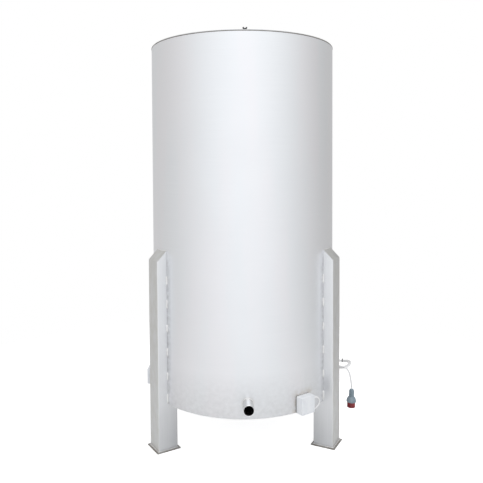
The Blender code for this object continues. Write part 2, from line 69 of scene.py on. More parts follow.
eye = bpy.data.objects.new("camera", bpy.data.cameras.new("camera"))
bpy.context.scene.collection.objects.link(eye)
bpy.context.scene.camera = eye
forward = Vector((
    math.sin(HEADING) * math.cos(PITCH),
    math.cos(HEADING) * math.cos(PITCH),
    -math.sin(PITCH),
))
eye.location = CAMERA_PLACE
eye.rotation_mode = "QUATERNION"
eye.rotation_quaternion = forward.to_track_quat("-Z", "Y") @ Quaternion((0, 0, 1), ROLL)
eye.data.sensor_width = SENSOR
eye.data.lens = SENSOR * FOCAL_PIXELS / PICTURE_SIDE
eye.data.shift_x = (PICTURE_SIDE / 2 - PRINCIPAL_POINT[0]) / PICTURE_SIDE
eye.data.shift_y = (PRINCIPAL_POINT[1] - PICTURE_SIDE / 2) / PICTURE_SIDE
print("lens:", round(eye.data.lens, 2), "mm, shift:", round(eye.data.shift_y, 3))

# %% [markdown]
# ## Places on the round wall
#
# Everything on the wall is easiest to place by an azimuth: an angle round the tank from
# the front, with a reach from the axis, a distance along the wall and a height. One
# small function turns these into a world point, as the tank's source does. FRONT, LEFT
# and RIGHT are the azimuths of the three boxes. SEAT is the small gap that pieces keep
# where they touch.

# %% Places
TANK_RADIUS = 0.600
TANK_BOTTOM = 0.2935
TANK_TOP = 2.5370
FRONT, LEFT, RIGHT = 33.75, -93.75, 90.0
LEGS = {"left": -60.0, "right": 60.0, "rear": 180.0}
LEG_REACH, LEG_SIDE = 0.6610, 0.1305
LEG_HALF = LEG_SIDE / 2
BOX_WIDTH, BOX_HEIGHT, BOX_TOP = 0.102, 0.104, 0.3945
BOX_CENTRE = BOX_TOP - BOX_HEIGHT / 2
GLAND_REACH = 0.6275
SEAT = 0.0003


def on_wall(azimuth, reach, along, height):
    """World point at a reach from the axis, moved along the wall, seen from outside."""
    turn = math.radians(azimuth)
    x = reach * math.sin(turn) + along * math.cos(turn)
    y = -reach * math.cos(turn) + along * math.sin(turn)
    return (x, y, height)


def facing(azimuth):
    """Turns a piece drawn at the front, with -Y outwards, to its azimuth."""
    return Matrix.Rotation(math.radians(azimuth), 4, "Z")


print("front box at", [round(v, 3) for v in on_wall(FRONT, TANK_RADIUS, 0.0, BOX_CENTRE)])

# %% [markdown]
# ## Cables
#
# A cable is a fixed length of something flexible. A curve with a bevel would draw one,
# but a mesh tube can carry a UV map whose U is the length in metres, so its finish can
# follow it. The centre line is a natural cubic spline through a few chosen points, which
# bends as a real cable does, without corners.

# %% Tubes along a route
def smooth_route(points, spacing):
    """Evenly spaced points of a natural cubic spline through the route's own points."""
    given = np.array(points, dtype=float)
    spans = np.linalg.norm(np.diff(given, axis=0), axis=1)
    along = np.concatenate(([0.0], np.cumsum(spans)))
    count = len(given)
    system = np.eye(count)
    right = np.zeros_like(given)
    for i in range(1, count - 1):
        before = along[i] - along[i - 1]
        after = along[i + 1] - along[i]
        system[i, i - 1 : i + 2] = (before, 2 * (before + after), after)
        right[i] = 6 * ((given[i + 1] - given[i]) / after - (given[i] - given[i - 1]) / before)
    bend = np.linalg.solve(system, right)
    places = np.linspace(0.0, along[-1], max(3, round(along[-1] / spacing) + 1))
    route = []
    for place in places:
        i = int(np.clip(np.searchsorted(along, place) - 1, 0, count - 2))
        span = along[i + 1] - along[i]
        a = (along[i + 1] - place) / span
        b = 1.0 - a
        curve = (a**3 - a) * bend[i] + (b**3 - b) * bend[i + 1]
        route.append(a * given[i] + b * given[i + 1] + curve * span**2 / 6)
    return np.array(route)


def route_length(route):
    return float(np.linalg.norm(np.diff(route, axis=0), axis=1).sum())


def new_piece(name, form):
    """Makes an object at the origin from a bmesh, which is freed."""
    mesh = bpy.data.meshes.new(name)
    form.to_mesh(mesh)
    form.free()
    piece = bpy.data.objects.new(name, mesh)
    bpy.context.scene.collection.objects.link(piece)
    return piece


TUBE_SIDES = 16


def tube(name, route, diameter):
    """A closed tube whose UV map has metres along it in U and the way round in V."""
    form = bmesh.new()
    uv = form.loops.layers.uv.new("UVMap")
    rings = []
    side = None
    for i, point in enumerate(route):
        ahead = route[min(i + 1, len(route) - 1)] - route[max(i - 1, 0)]
        ahead = Vector(ahead).normalized()
        if side is None:
            side = ahead.orthogonal()
        side = (side - ahead * side.dot(ahead)).normalized()
        up = ahead.cross(side)
        ring = []
        for k in range(TUBE_SIDES):
            turn = math.tau * k / TUBE_SIDES
            offset = (side * math.cos(turn) + up * math.sin(turn)) * diameter / 2
            ring.append(form.verts.new(Vector(point) + offset))
        rings.append(ring)
    steps = np.concatenate(([0.0], np.cumsum(np.linalg.norm(np.diff(route, axis=0), axis=1))))
    for i in range(len(rings) - 1):
        for k in range(TUBE_SIDES):
            j = (k + 1) % TUBE_SIDES
            face = form.faces.new((rings[i][k], rings[i][j], rings[i + 1][j], rings[i + 1][k]))
            corners = ((i, k), (i, k + 1), (i + 1, k + 1), (i + 1, k))
            for loop, (row, column) in zip(face.loops, corners):
                loop[uv].uv = (steps[row], column / TUBE_SIDES)
    form.faces.new(list(reversed(rings[0])))
    form.faces.new(rings[-1])
    return new_piece(name, form)


# %% [markdown]
# ### The supply cord
#
# The cord leaves the right box through a long strain relief, turns up and back in one
# wide bend, and lies in an oval coil on top of the box. The coil is a spiral whose two
# reaches, across the wall and along it, grow with each turn, so the turns never meet. It
# grows faster in front than at the back, where the tie holds it, so the turns fan out.
# Past the box nothing carries the coil: its tip springs up a little and its front sags.
# The last turn climbs onto the one before and hangs over it down to the plug. Angles
# count on from turn to turn, in degrees. Each of DRAW, CLIMB, TIP and SAG is an amount
# and the two angles or places between which it comes in.

# %% Supply cord
CORD_DIAMETER, CORD_SPACING = 0.012, 0.004
COIL_LEVEL = BOX_TOP + SEAT + CORD_DIAMETER / 2
COIL_MIDDLE = 0.6765
COIL_ACROSS, COIL_PITCH = 0.0446, 0.0130
COIL_BACK, COIL_FRONT, COIL_FAN = 0.0580, 0.0470, 0.0240
EGG = 0.16
COIL_ZERO, COIL_START, COIL_END, COIL_STEP = 220, 264, 960, 12
DRAW_IN, DRAW_ANGLES = 0.022, (860.0, 1000.0)
CLIMB, CLIMB_ANGLES = CORD_DIAMETER + SEAT, (865.0, 950.0)
TIP_RISE, TIP_PLACES = 0.013, (0.690, 0.745)
FRONT_SAG, SAG_PLACES = 0.007, (0.055, 0.100)
SAG_END, SAG_FADE = 0.700, 0.070
RELIEF_HEIGHT, RELIEF_LENGTH = 0.3325, 0.034
GLAND_NOSE = on_wall(RIGHT, GLAND_REACH, 0.0856, RELIEF_HEIGHT)
PLUG_TOP = (0.7275, -0.0850, 0.2603)


def eased(value, low, high):
    """0 below low, 1 above high, and a smooth step between them."""
    share = min(1.0, max(0.0, (value - low) / (high - low)))
    return share * share * (3.0 - 2.0 * share)


def coil_point(angle):
    """The coil's centre line, at an angle from +X that counts on from turn to turn."""
    turn = math.radians(angle)
    wound = (angle - COIL_ZERO) / 360.0
    in_front = (1.0 - math.sin(turn)) / 2.0
    across = COIL_ACROSS + COIL_PITCH * wound
    behind = COIL_BACK + COIL_PITCH * wound
    ahead = COIL_FRONT + COIL_FAN * wound
    along = behind + (ahead - behind) * in_front - DRAW_IN * eased(angle, *DRAW_ANGLES)
    x = COIL_MIDDLE + across * math.cos(turn)
    y = along * math.sin(turn) * (1.0 - EGG * math.cos(turn))
    climb = CLIMB * eased(angle, *CLIMB_ANGLES)
    rise = TIP_RISE * eased(x, *TIP_PLACES)
    sag = FRONT_SAG * eased(-y, *SAG_PLACES) * eased(SAG_END - x, 0.0, SAG_FADE)
    return (x, y, COIL_LEVEL + climb + rise - sag)


lead = [
    GLAND_NOSE,
    on_wall(RIGHT, 0.6275, 0.1056, 0.3325),
    on_wall(RIGHT, 0.6272, 0.1300, 0.3333),
    on_wall(RIGHT, 0.6262, 0.1530, 0.3415),
    on_wall(RIGHT, 0.6248, 0.1690, 0.3595),
    on_wall(RIGHT, 0.6232, 0.1742, 0.3815),
    on_wall(RIGHT, 0.6216, 0.1680, 0.4035),
    on_wall(RIGHT, 0.6202, 0.1510, 0.4205),
    on_wall(RIGHT, 0.6192, 0.1280, 0.4290),
    on_wall(RIGHT, 0.6186, 0.1030, 0.4280),
    on_wall(RIGHT, 0.6184, 0.0780, 0.4210),
    on_wall(RIGHT, 0.6188, 0.0530, 0.4155),
    on_wall(RIGHT, 0.6203, 0.0280, 0.4138),
    on_wall(RIGHT, 0.6238, 0.0035, 0.4134),
    on_wall(RIGHT, 0.6300, -0.0160, 0.4108),
    on_wall(RIGHT, 0.6395, -0.0335, 0.4055),
    on_wall(RIGHT, 0.6530, -0.0455, 0.4015),
]
turns = [coil_point(angle) for angle in range(COIL_START, COIL_END + 1, COIL_STEP)]
drop = [
    (0.6580, -0.0806, 0.4122),
    (0.6700, -0.0838, 0.4105),
    (0.6815, -0.0857, 0.4066),
    (0.6918, -0.0873, 0.4000),
    (0.7003, -0.0886, 0.3905),
    (0.7068, -0.0897, 0.3785),
    (0.7117, -0.0905, 0.3645),
    (0.7155, -0.0910, 0.3490),
    (0.7190, -0.0909, 0.3310),
    (0.7222, -0.0901, 0.3120),
    (0.7250, -0.0884, 0.2930),
    (0.7267, -0.0862, 0.2750),
    PLUG_TOP,
]
cord_route = smooth_route(lead + turns + drop, CORD_SPACING)
supply_cord = tube("supply_cord", cord_route, CORD_DIAMETER)

# %% [markdown]
# ### The link cable
#
# A thinner cable joins the front box to the right box. It leaves its gland, bends down
# in a small loop, runs in an arc under the tank's floor, where clips hold it, and comes
# up to the other gland in the same way. The loop is listed once and used at both ends.

# %% Link cable
LINK_DIAMETER, LINK_SPACING, LINK_GAP = 0.010, 0.005, 0.0015
LINK_HEIGHT = TANK_BOTTOM - LINK_GAP - LINK_DIAMETER / 2
LINK_ARC, ARC_MARGIN, ARC_POINTS = 0.500, 18.0, 7
loop = [
    (0.6275, 0.0656, 0.3670),
    (0.6275, 0.0806, 0.3670),
    (0.6275, 0.0975, 0.3590),
    (0.6275, 0.1095, 0.3410),
    (0.6255, 0.1085, 0.3200),
    (0.6200, 0.0965, 0.3010),
    (0.6080, 0.0800, 0.2865),
    (0.5900, 0.0670, 0.2800),
    (0.5620, 0.0640, 0.2825),
    (0.5350, 0.0740, LINK_HEIGHT),
]
link_points = [on_wall(FRONT, *point) for point in loop]
for azimuth in np.linspace(FRONT + ARC_MARGIN, RIGHT - ARC_MARGIN, ARC_POINTS):
    link_points.append(on_wall(azimuth, LINK_ARC, 0.0, LINK_HEIGHT))
link_points += [on_wall(RIGHT, reach, -along, height) for reach, along, height in reversed(loop)]
link_route = smooth_route(link_points, LINK_SPACING)
link_cable = tube("link_cable_sheath", link_route, LINK_DIAMETER)
print("link cable:", round(route_length(link_route), 3), "m")

# %% [markdown]
# ## Writing node trees
#
# Shader trees and Geometry Nodes trees are written the same way: add a node, set some of
# its sockets, link the others. One helper does all three, so a tree reads as a list of
# steps. A socket is named by its label, or by its number where labels repeat.

# %% Node helpers
def add_node(tree, kind, sockets=None, **settings):
    """Adds a node. A socket's value may be a plain value or another node's output."""
    made = tree.nodes.new(kind)
    for name, value in settings.items():
        setattr(made, name, value)
    for name, value in (sockets or {}).items():
        if isinstance(value, bpy.types.NodeSocket):
            tree.links.new(value, made.inputs[name])
        else:
            made.inputs[name].default_value = value
    return made


def maths(tree, operation, *values):
    sockets = dict(enumerate(values))
    return add_node(tree, "ShaderNodeMath", sockets, operation=operation).outputs[0]


def ranged(tree, value, low, high, to_low, to_high):
    """Maps low..high to to_low..to_high, and holds it there beyond."""
    sockets = {"Value": value, 1: low, 2: high, 3: to_low, 4: to_high}
    return add_node(tree, "ShaderNodeMapRange", sockets).outputs[0]


def mixed(tree, share, first, second):
    """A colour between two colours."""
    sockets = {0: share, 6: first, 7: second}
    return add_node(tree, "ShaderNodeMix", sockets, data_type="RGBA").outputs[2]


# %% [markdown]
# ## Finishes
#
# A finish needs more than a colour. Sheet steel has a fine grain that follows the way
# it was ground, and faint clouds where it was wiped. Both change the roughness more than
# the colour, because gloss is what shows on metal. The pattern reads Object coordinates,
# or the piece's own UV map, so it stays on the piece from every side.

# %% Finish helpers
EVEN = (1.0, 1.0, 1.0)
GRAIN_SHARE, CLOUD_SHARE, CLOUD_SCALE = 0.55, 0.45, 2.3
GRAIN_DEPTH, SKIN_DEPTH, SKIN_SCALE = 0.00002, 0.00004, 420.0


def new_finish(name, roughness, metallic=0.0):
    """A material with an empty Principled shader, its tree, and the shader."""
    finish = bpy.data.materials.new(name)
    finish.use_nodes = True
    shader = finish.node_tree.nodes["Principled BSDF"]
    shader.inputs["Roughness"].default_value = roughness
    shader.inputs["Metallic"].default_value = metallic
    return finish, finish.node_tree, shader


def place_on(tree, stretch, source="Object"):
    """Coordinates on the piece, stretched along each axis."""
    coordinates = add_node(tree, "ShaderNodeTexCoord").outputs[source]
    mapping = add_node(tree, "ShaderNodeMapping", {"Vector": coordinates, "Scale": stretch})
    return mapping.outputs[0]


def noise(tree, place, scale, detail=3.0):
    sockets = {"Vector": place, "Scale": scale, "Detail": detail}
    return add_node(tree, "ShaderNodeTexNoise", sockets).outputs[0]


def bump(tree, height, distance):
    sockets = {"Height": height, "Distance": distance, "Strength": 1.0}
    return add_node(tree, "ShaderNodeBump", sockets).outputs[0]


def ground_steel(name, light, dark, roughness, stretch, source="Object"):
    """Ground sheet steel: a stretched grain, and clouds where it was wiped."""
    finish, tree, shader = new_finish(name, roughness, 1.0)
    grain = noise(tree, place_on(tree, stretch, source), 1.0, 4.0)
    clouds = noise(tree, place_on(tree, EVEN, source), CLOUD_SCALE, 3.0)
    grain_part = maths(tree, "MULTIPLY", grain, GRAIN_SHARE)
    share = maths(tree, "ADD", grain_part, maths(tree, "MULTIPLY", clouds, CLOUD_SHARE))
    tone = mixed(tree, ranged(tree, share, 0.34, 0.66, 0.0, 1.0), (*dark, 1.0), (*light, 1.0))
    shine = ranged(tree, share, 0.3, 0.7, roughness + 0.05, roughness - 0.05)
    tree.links.new(tone, shader.inputs["Base Color"])
    tree.links.new(shine, shader.inputs["Roughness"])
    tree.links.new(bump(tree, grain, GRAIN_DEPTH), shader.inputs["Normal"])
    return finish, tree, shader, tone, shine


def moulded(name, light, dark, roughness):
    """Moulded plastic: a fine sparked skin, with handling marks as soft clouds."""
    finish, tree, shader = new_finish(name, roughness)
    place = place_on(tree, EVEN)
    clouds = noise(tree, place, 26.0, 4.0)
    skin = noise(tree, place, SKIN_SCALE, 2.0)
    tone = mixed(tree, ranged(tree, clouds, 0.35, 0.65, 0.0, 1.0), (*dark, 1.0), (*light, 1.0))
    tree.links.new(tone, shader.inputs["Base Color"])
    shine = ranged(tree, clouds, 0.3, 0.7, roughness + 0.06, roughness - 0.04)
    tree.links.new(shine, shader.inputs["Roughness"])
    tree.links.new(bump(tree, skin, SKIN_DEPTH), shader.inputs["Normal"])
    return finish


# %% [markdown]
# ### The finishes of this tank
#
# The wall's grain runs round the tank, as the sheet was rolled and ground along its
# length: the wall's UV map has metres round it in U and metres up it in V, so a small
# scale in U and a large one in V draws long level lines. The legs' grain runs up them,
# and their outer sides are painted darker, as painted shade. An attribute stored on the
# mesh, outer_side, tells the finish which faces those are.

# %% Sheet steel finishes
GRAIN_ALONG, GRAIN_ACROSS = 3.0, 700.0
UPRIGHT_GRAIN = (GRAIN_ACROSS, GRAIN_ACROSS, GRAIN_ALONG)
LEVEL_GRAIN = (GRAIN_ALONG, GRAIN_ACROSS, GRAIN_ACROSS)
OUTER_SIDE_SHADE = (0.72, 0.72, 0.70, 1.0)
leg_steel, tree, shader, tone, _ = ground_steel(
    "leg steel", (0.84, 0.85, 0.865), (0.775, 0.785, 0.80), 0.36, UPRIGHT_GRAIN
)
# The outer sides are painted darker in patches, as painted shade.
outer_side = add_node(tree, "ShaderNodeAttribute", attribute_name="outer_side").outputs["Fac"]
patchy = noise(tree, place_on(tree, (1.0, 1.0, 0.5)), 30.0, 5.0)
outer_shade = maths(tree, "MULTIPLY", outer_side, ranged(tree, patchy, 0.35, 0.65, 0.45, 1.0))
tree.links.new(mixed(tree, outer_shade, tone, OUTER_SIDE_SHADE), shader.inputs["Base Color"])
lid_steel = ground_steel(
    "lid steel", (0.80, 0.81, 0.82), (0.73, 0.74, 0.75), 0.36, LEVEL_GRAIN
)[0]
bottom_steel = ground_steel(
    "bottom steel", (0.74, 0.745, 0.75), (0.66, 0.665, 0.67), 0.42, LEVEL_GRAIN
)[0]
weld_steel = ground_steel(
    "weld steel", (0.97, 0.97, 0.97), (0.86, 0.855, 0.845), 0.50, (90.0, 90.0, 90.0)
)[0]
print("steel finishes made")

# %% [markdown]
# A tank that has stood in a works is not evenly clean: the weld left a faint straw ring
# round the outlet. Beside the legs and towards the floor the wall is painted darker, as
# painted shade, and round the boxes it is painted darker and warmer, as painted shade and
# painted reflection. Each of these is a share from 0 to 1, worked out from the wall's own
# UV map: metres round the tank from the front, and metres up. They are broken up with
# noise, so that no edge looks ruled.

# %% Wall finish with painted shade, painted reflection and a heat ring
OUTLET_HEIGHT = 0.384
LEG_MIDDLE = math.radians(LEGS["right"]) * TANK_RADIUS
REAR_MIDDLE = math.pi * TANK_RADIUS
LEG_EDGE = math.asin(LEG_HALF / TANK_RADIUS) * TANK_RADIUS
LEG_SHADE_REACH, LEG_SHADE_TOP = 0.050, (1.16, 1.26)
LOW_SHADE_TOP = 0.560
BOX_SHADE_REACH = 0.042
RING_INNER, RING_OUTER = 0.033, 0.046
DRIFT = (0.925, 0.905, 0.925, 1.0)
PAINTED_SHADE = (0.60, 0.60, 0.605, 1.0)
PAINTED_BOX_SHADE = (0.69, 0.65, 0.595, 1.0)
STRAW = (0.66, 0.60, 0.53, 1.0)
wall_steel, tree, shader, tone, shine = ground_steel(
    "wall steel", (0.91, 0.925, 0.945), (0.875, 0.89, 0.91), 0.40, (GRAIN_ALONG, GRAIN_ACROSS, 1.0), "UV"
)
coordinates = add_node(tree, "ShaderNodeTexCoord").outputs["UV"]
parts = add_node(tree, "ShaderNodeSeparateXYZ", {0: coordinates}).outputs
around, up = parts[0], parts[1]
rough_edge = noise(tree, place_on(tree, EVEN, "UV"), 38.0, 4.0)


def apart(value, middle):
    return maths(tree, "ABSOLUTE", maths(tree, "SUBTRACT", value, middle))


def corner_distance(across, upright):
    """Distance from two sides, where each counts only beyond zero."""
    across = maths(tree, "MAXIMUM", across, 0.0)
    upright = maths(tree, "MAXIMUM", upright, 0.0)
    across_squared = maths(tree, "MULTIPLY", across, across)
    upright_squared = maths(tree, "MULTIPLY", upright, upright)
    return maths(tree, "SQRT", maths(tree, "ADD", across_squared, upright_squared))


from_outlet = corner_distance(apart(around, 0.0), apart(up, OUTLET_HEIGHT))
heat = ranged(tree, from_outlet, RING_INNER, RING_OUTER, 0.18, 0.0)
# Beside the legs the wall is painted darker, as painted shade.
from_side_leg = apart(maths(tree, "ABSOLUTE", around), LEG_MIDDLE)
from_rear_leg = maths(tree, "SUBTRACT", REAR_MIDDLE, maths(tree, "ABSOLUTE", around))
from_leg = maths(tree, "SUBTRACT", maths(tree, "MINIMUM", from_side_leg, from_rear_leg), LEG_EDGE)
leg_shade = ranged(tree, from_leg, 0.0, LEG_SHADE_REACH, 0.95, 0.0)
leg_shade = maths(tree, "MULTIPLY", leg_shade, ranged(tree, up, *LEG_SHADE_TOP, 1.0, 0.0))
leg_shade = maths(tree, "MULTIPLY", leg_shade, ranged(tree, rough_edge, 0.30, 0.62, 0.35, 1.0))
# Round each box the wall is painted darker and warmer, as painted shade and painted reflection of the
# box.
box_shade = 0.0
for azimuth in (FRONT, LEFT, RIGHT):
    from_middle = apart(around, math.radians(azimuth) * TANK_RADIUS)
    beside = maths(tree, "SUBTRACT", from_middle, BOX_WIDTH / 2)
    above = maths(tree, "SUBTRACT", apart(up, BOX_CENTRE), BOX_HEIGHT / 2)
    near = ranged(tree, corner_distance(beside, above), 0.0, BOX_SHADE_REACH, 0.85, 0.0)
    box_shade = maths(tree, "MAXIMUM", near, box_shade)
box_shade = maths(tree, "MULTIPLY", box_shade, ranged(tree, rough_edge, 0.32, 0.60, 0.3, 1.0))
# Towards the floor the wall is painted darker, as painted shade.
low_shade = maths(tree, "MULTIPLY", ranged(tree, up, TANK_BOTTOM, LOW_SHADE_TOP, 0.75, 0.0), rough_edge)
drift = noise(tree, place_on(tree, (5.0, 0.7, 1.0), "UV"), 1.0, 3.0)
tinted = mixed(tree, ranged(tree, drift, 0.42, 0.60, 0.0, 0.5), tone, DRIFT)
shaded = mixed(tree, maths(tree, "MAXIMUM", leg_shade, low_shade), tinted, PAINTED_SHADE)
box_shaded = mixed(tree, box_shade, shaded, PAINTED_BOX_SHADE)
heated = mixed(tree, heat, box_shaded, STRAW)
tree.links.new(heated, shader.inputs["Base Color"])
# Where the wall is painted with shade it is also a little rougher.
shade_dulling = maths(tree, "MULTIPLY", maths(tree, "MAXIMUM", leg_shade, box_shade), 0.12)
dull = maths(tree, "ADD", shine, shade_dulling)
tree.links.new(dull, shader.inputs["Roughness"])
print("wall finish made, leg edges at", round(LEG_MIDDLE - LEG_EDGE, 4), "m round the wall")

# %% [markdown]
# The foot plates are plain steel: dark and rough, with brown specks. The outlet is a
# polished tube with a fine grain that runs round it. A painted highlight lies on a ring
# near its end and on a line along its top and its underside, and its sides are dull and
# blotched.

# %% Foot plate, tube and pin finishes
foot_steel, tree, shader = new_finish("foot plate steel", 0.55, 1.0)
place = place_on(tree, EVEN)
stains = noise(tree, place, 34.0, 6.0)
specks = noise(tree, place, 240.0, 2.0)
stained = ranged(tree, stains, 0.40, 0.62, 0.0, 1.0)
worn = mixed(tree, stained, (0.50, 0.49, 0.47, 1.0), (0.36, 0.34, 0.31, 1.0))
in_stains = ranged(tree, stains, 0.45, 0.6, 0.0, 1.0)
rust = maths(tree, "MULTIPLY", ranged(tree, specks, 0.60, 0.70, 0.0, 1.0), in_stains)
tree.links.new(mixed(tree, rust, worn, (0.26, 0.15, 0.09, 1.0)), shader.inputs["Base Color"])
tree.links.new(ranged(tree, stains, 0.35, 0.65, 0.46, 0.66), shader.inputs["Roughness"])
tree.links.new(bump(tree, specks, 0.0001), shader.inputs["Normal"])

tube_steel = ground_steel(
    "polished tube", (0.66, 0.64, 0.61), (0.50, 0.48, 0.455), 0.13, (60.0, 400.0, 60.0)
)[0]
OUTLET_END = 0.698
outlet_steel, tree, shader, tone, _ = ground_steel(
    "outlet tube", (0.74, 0.735, 0.73), (0.50, 0.50, 0.495), 0.22, (60.0, 400.0, 60.0)
)
parts = add_node(tree, "ShaderNodeSeparateXYZ", {0: place_on(tree, EVEN)}).outputs
blotches = noise(tree, place_on(tree, EVEN), 75.0, 3.0)
ragged = maths(tree, "MULTIPLY", blotches, 0.008)
# Painted highlight along the top and underside, and on a ring near the end.
off_middle = maths(tree, "ADD", maths(tree, "ABSOLUTE", parts[0]), ragged)
top_line_highlight = ranged(tree, off_middle, 0.009, 0.019, 1.0, 0.0)
end_highlight = ranged(tree, parts[1], 0.0018 - OUTLET_END, 0.0008 - OUTLET_END, 0.0, 1.0)
painted_highlight = maths(tree, "MAXIMUM", top_line_highlight, end_highlight)
tree.links.new(mixed(tree, painted_highlight, tone, (0.97, 0.97, 0.975, 1.0)), shader.inputs["Base Color"])
print("foot and tube finishes made")

# %% Plastic and cable finishes
box_plastic = moulded("box plastic", (0.86, 0.875, 0.90), (0.81, 0.83, 0.86), 0.42)
dial_plastic = moulded("dial plastic", (0.70, 0.71, 0.72), (0.63, 0.64, 0.65), 0.40)
black_plastic = moulded("black plastic", (0.020, 0.020, 0.022), (0.012, 0.012, 0.013), 0.38)
plug_grey = moulded("plug grey plastic", (0.31, 0.38, 0.43), (0.22, 0.29, 0.34), 0.42)
plug_red = moulded("plug red plastic", (0.30, 0.030, 0.036), (0.20, 0.022, 0.028), 0.36)
# The lid seal's dark rubber also stands in for the shade under the lid, as painted shade.
lid_rubber_and_shade = moulded("lid seal and painted shade", (0.25, 0.235, 0.22), (0.17, 0.16, 0.15), 0.55)
# The box pads' dark rubber also stands in for the shade behind the boxes, as painted shade.
pad_rubber_and_shade = moulded("box pad rubber and painted shade", (0.075, 0.065, 0.055), (0.045, 0.040, 0.035), 0.60)
print("plastic finishes made")

# %% [markdown]
# A cable sheath is drawn out of a die, so its marks run along it. On the tube's UV map a
# small scale in U and a larger one in V gives faint lengthwise streaks, and a broad
# noise gives the grey where it was handled.

# %% Cable sheath finish
sheath, tree, shader = new_finish("cable sheath", 0.45)
drawn = noise(tree, place_on(tree, (6.0, 30.0, 1.0), "UV"), 1.0, 3.0)
patchy = noise(tree, place_on(tree, EVEN), 18.0, 4.0)
share = maths(tree, "MULTIPLY", ranged(tree, patchy, 0.45, 0.7, 0.0, 1.0), 0.8)
tone = mixed(tree, share, (0.93, 0.93, 0.935, 1.0), (0.84, 0.835, 0.83, 1.0))
tree.links.new(tone, shader.inputs["Base Color"])
tree.links.new(ranged(tree, drawn, 0.3, 0.7, 0.38, 0.54), shader.inputs["Roughness"])
tree.links.new(bump(tree, drawn, 0.00008), shader.inputs["Normal"])
print("sheath finish made")

# %% [markdown]
# ## Settling a piece
#
# Each finished piece gets the same last steps: doubled points are merged, faces are
# turned outwards, edges sharper than an angle stay sharp, and the piece takes its
# finish, rides on the frame and hides the solids it stands for.

# %% Settle
MERGE = 1e-5


def settle(piece, finish, replaces=(), sharp=35.0, matrix=None):
    """Cleans a mesh, puts it in place, and ties it to the frame."""
    form = bmesh.new()
    form.from_mesh(piece.data)
    if matrix is not None:
        form.transform(matrix)
    bmesh.ops.remove_doubles(form, verts=form.verts, dist=MERGE)
    bmesh.ops.dissolve_degenerate(form, edges=form.edges, dist=MERGE / 10)
    bmesh.ops.recalc_face_normals(form, faces=form.faces)
    form.to_mesh(piece.data)
    form.free()
    piece.data.shade_smooth()
    piece.data.set_sharp_from_angle(angle=math.radians(sharp))
    piece.data.materials.clear()
    piece.data.materials.append(finish)
    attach(piece, "root")
    if replaces:
        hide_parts(*replaces)
    return piece


settle(supply_cord, sheath, ("supply_lead", "supply_coil", "supply_drop"))
settle(link_cable, sheath, ("link_cable",))
print("cord points:", len(supply_cord.data.vertices))

# %% [markdown]
# ## Turned pieces with Geometry Nodes
#
# A tank wall, a tube, a nut and a dial all follow one rule: an outline turned about an
# axis. A Screw modifier or a Spin would do it. A Geometry Nodes tree keeps the rule in
# one place: Curve to Mesh sweeps the outline along a circle. It lays the outline's X
# outwards and its Y downwards, so a height goes in with its sign turned. The circle has
# a radius of 1 m, so 1 m is taken off each radius.

# %% Tree helpers
def new_tree(name, **inputs):
    """A Geometry Nodes tree with named inputs, its input sockets and its output node."""
    tree = bpy.data.node_groups.new(name, "GeometryNodeTree")
    sockets = tree.interface
    sockets.new_socket("Geometry", in_out="INPUT", socket_type="NodeSocketGeometry")
    for label, kind in inputs.items():
        sockets.new_socket(label.replace("_", " "), in_out="INPUT", socket_type=f"NodeSocket{kind}")
    sockets.new_socket("Finish", in_out="INPUT", socket_type="NodeSocketMaterial")
    sockets.new_socket("Geometry", in_out="OUTPUT", socket_type="NodeSocketGeometry")
    given = tree.nodes.new("NodeGroupInput").outputs
    return tree, given, tree.nodes.new("NodeGroupOutput")


def end_tree(tree, geometry, given, result):
    """Ends a tree with Realize Instances and Set Material."""
    real = add_node(tree, "GeometryNodeRealizeInstances", {0: geometry}).outputs[0]
    dressed = add_node(
        tree, "GeometryNodeSetMaterial", {"Geometry": real, "Material": given["Finish"]}
    )
    tree.links.new(dressed.outputs[0], result.inputs[0])


def grow(name, tree, start, finish, **values):
    """Runs a tree on a start object, keeps the result as a plain mesh, drops the start."""
    values = {label.replace("_", " "): value for label, value in values.items()}
    values["Finish"] = finish
    modifier = start.modifiers.new("grow", "NODES")
    modifier.node_group = tree
    for item in tree.interface.items_tree:
        if item.in_out == "INPUT" and item.name in values:
            modifier[item.identifier] = values[item.name]
    depsgraph = bpy.context.evaluated_depsgraph_get()
    mesh = bpy.data.meshes.new_from_object(start.evaluated_get(depsgraph))
    mesh.name = name
    bpy.data.objects.remove(start)
    piece = bpy.data.objects.new(name, mesh)
    bpy.context.scene.collection.objects.link(piece)
    return piece


def poly_lines(lines, closed=False):
    """A curve object of straight stretches, as a start for a tree."""
    curve = bpy.data.curves.new("lines", "CURVE")
    curve.dimensions = "3D"
    for points in lines:
        spline = curve.splines.new("POLY")
        spline.points.add(len(points) - 1)
        for target, point in zip(spline.points, points):
            target.co = (*point, 1.0)
        spline.use_cyclic_u = closed
    start = bpy.data.objects.new("lines", curve)
    bpy.context.scene.collection.objects.link(start)
    return start


# %% Turned pieces
turning, given, result = new_tree("turned outline", Steps="Int")
circle = add_node(
    turning, "GeometryNodeCurvePrimitiveCircle", {"Resolution": given["Steps"], "Radius": 1.0}
)
swept = add_node(
    turning, "GeometryNodeCurveToMesh", {"Curve": circle.outputs[0], "Profile Curve": given["Geometry"]}
)
end_tree(turning, swept.outputs[0], given, result)


def turned(name, outline, finish, steps=64, closed=False):
    """Turns an outline of (radius, height) about +Z."""
    points = [(radius - 1.0, -height, 0.0) for radius, height in outline]
    return grow(name, turning, poly_lines([points], closed), finish, Steps=steps)


# %% [markdown]
# ## The wall
#
# On the real tank the wall is a rolled sheet with one welded seam. The solids are twelve
# plates, because a simulator needs pieces that are nearly flat, and their joints would
# show as lines. So one smooth turned shell stands for all twelve. Its outline goes up
# the outside, round the thick rim and down the inside. The hole for the outlet is a
# boolean cut, and then each face corner gets its UV: metres round and metres up.

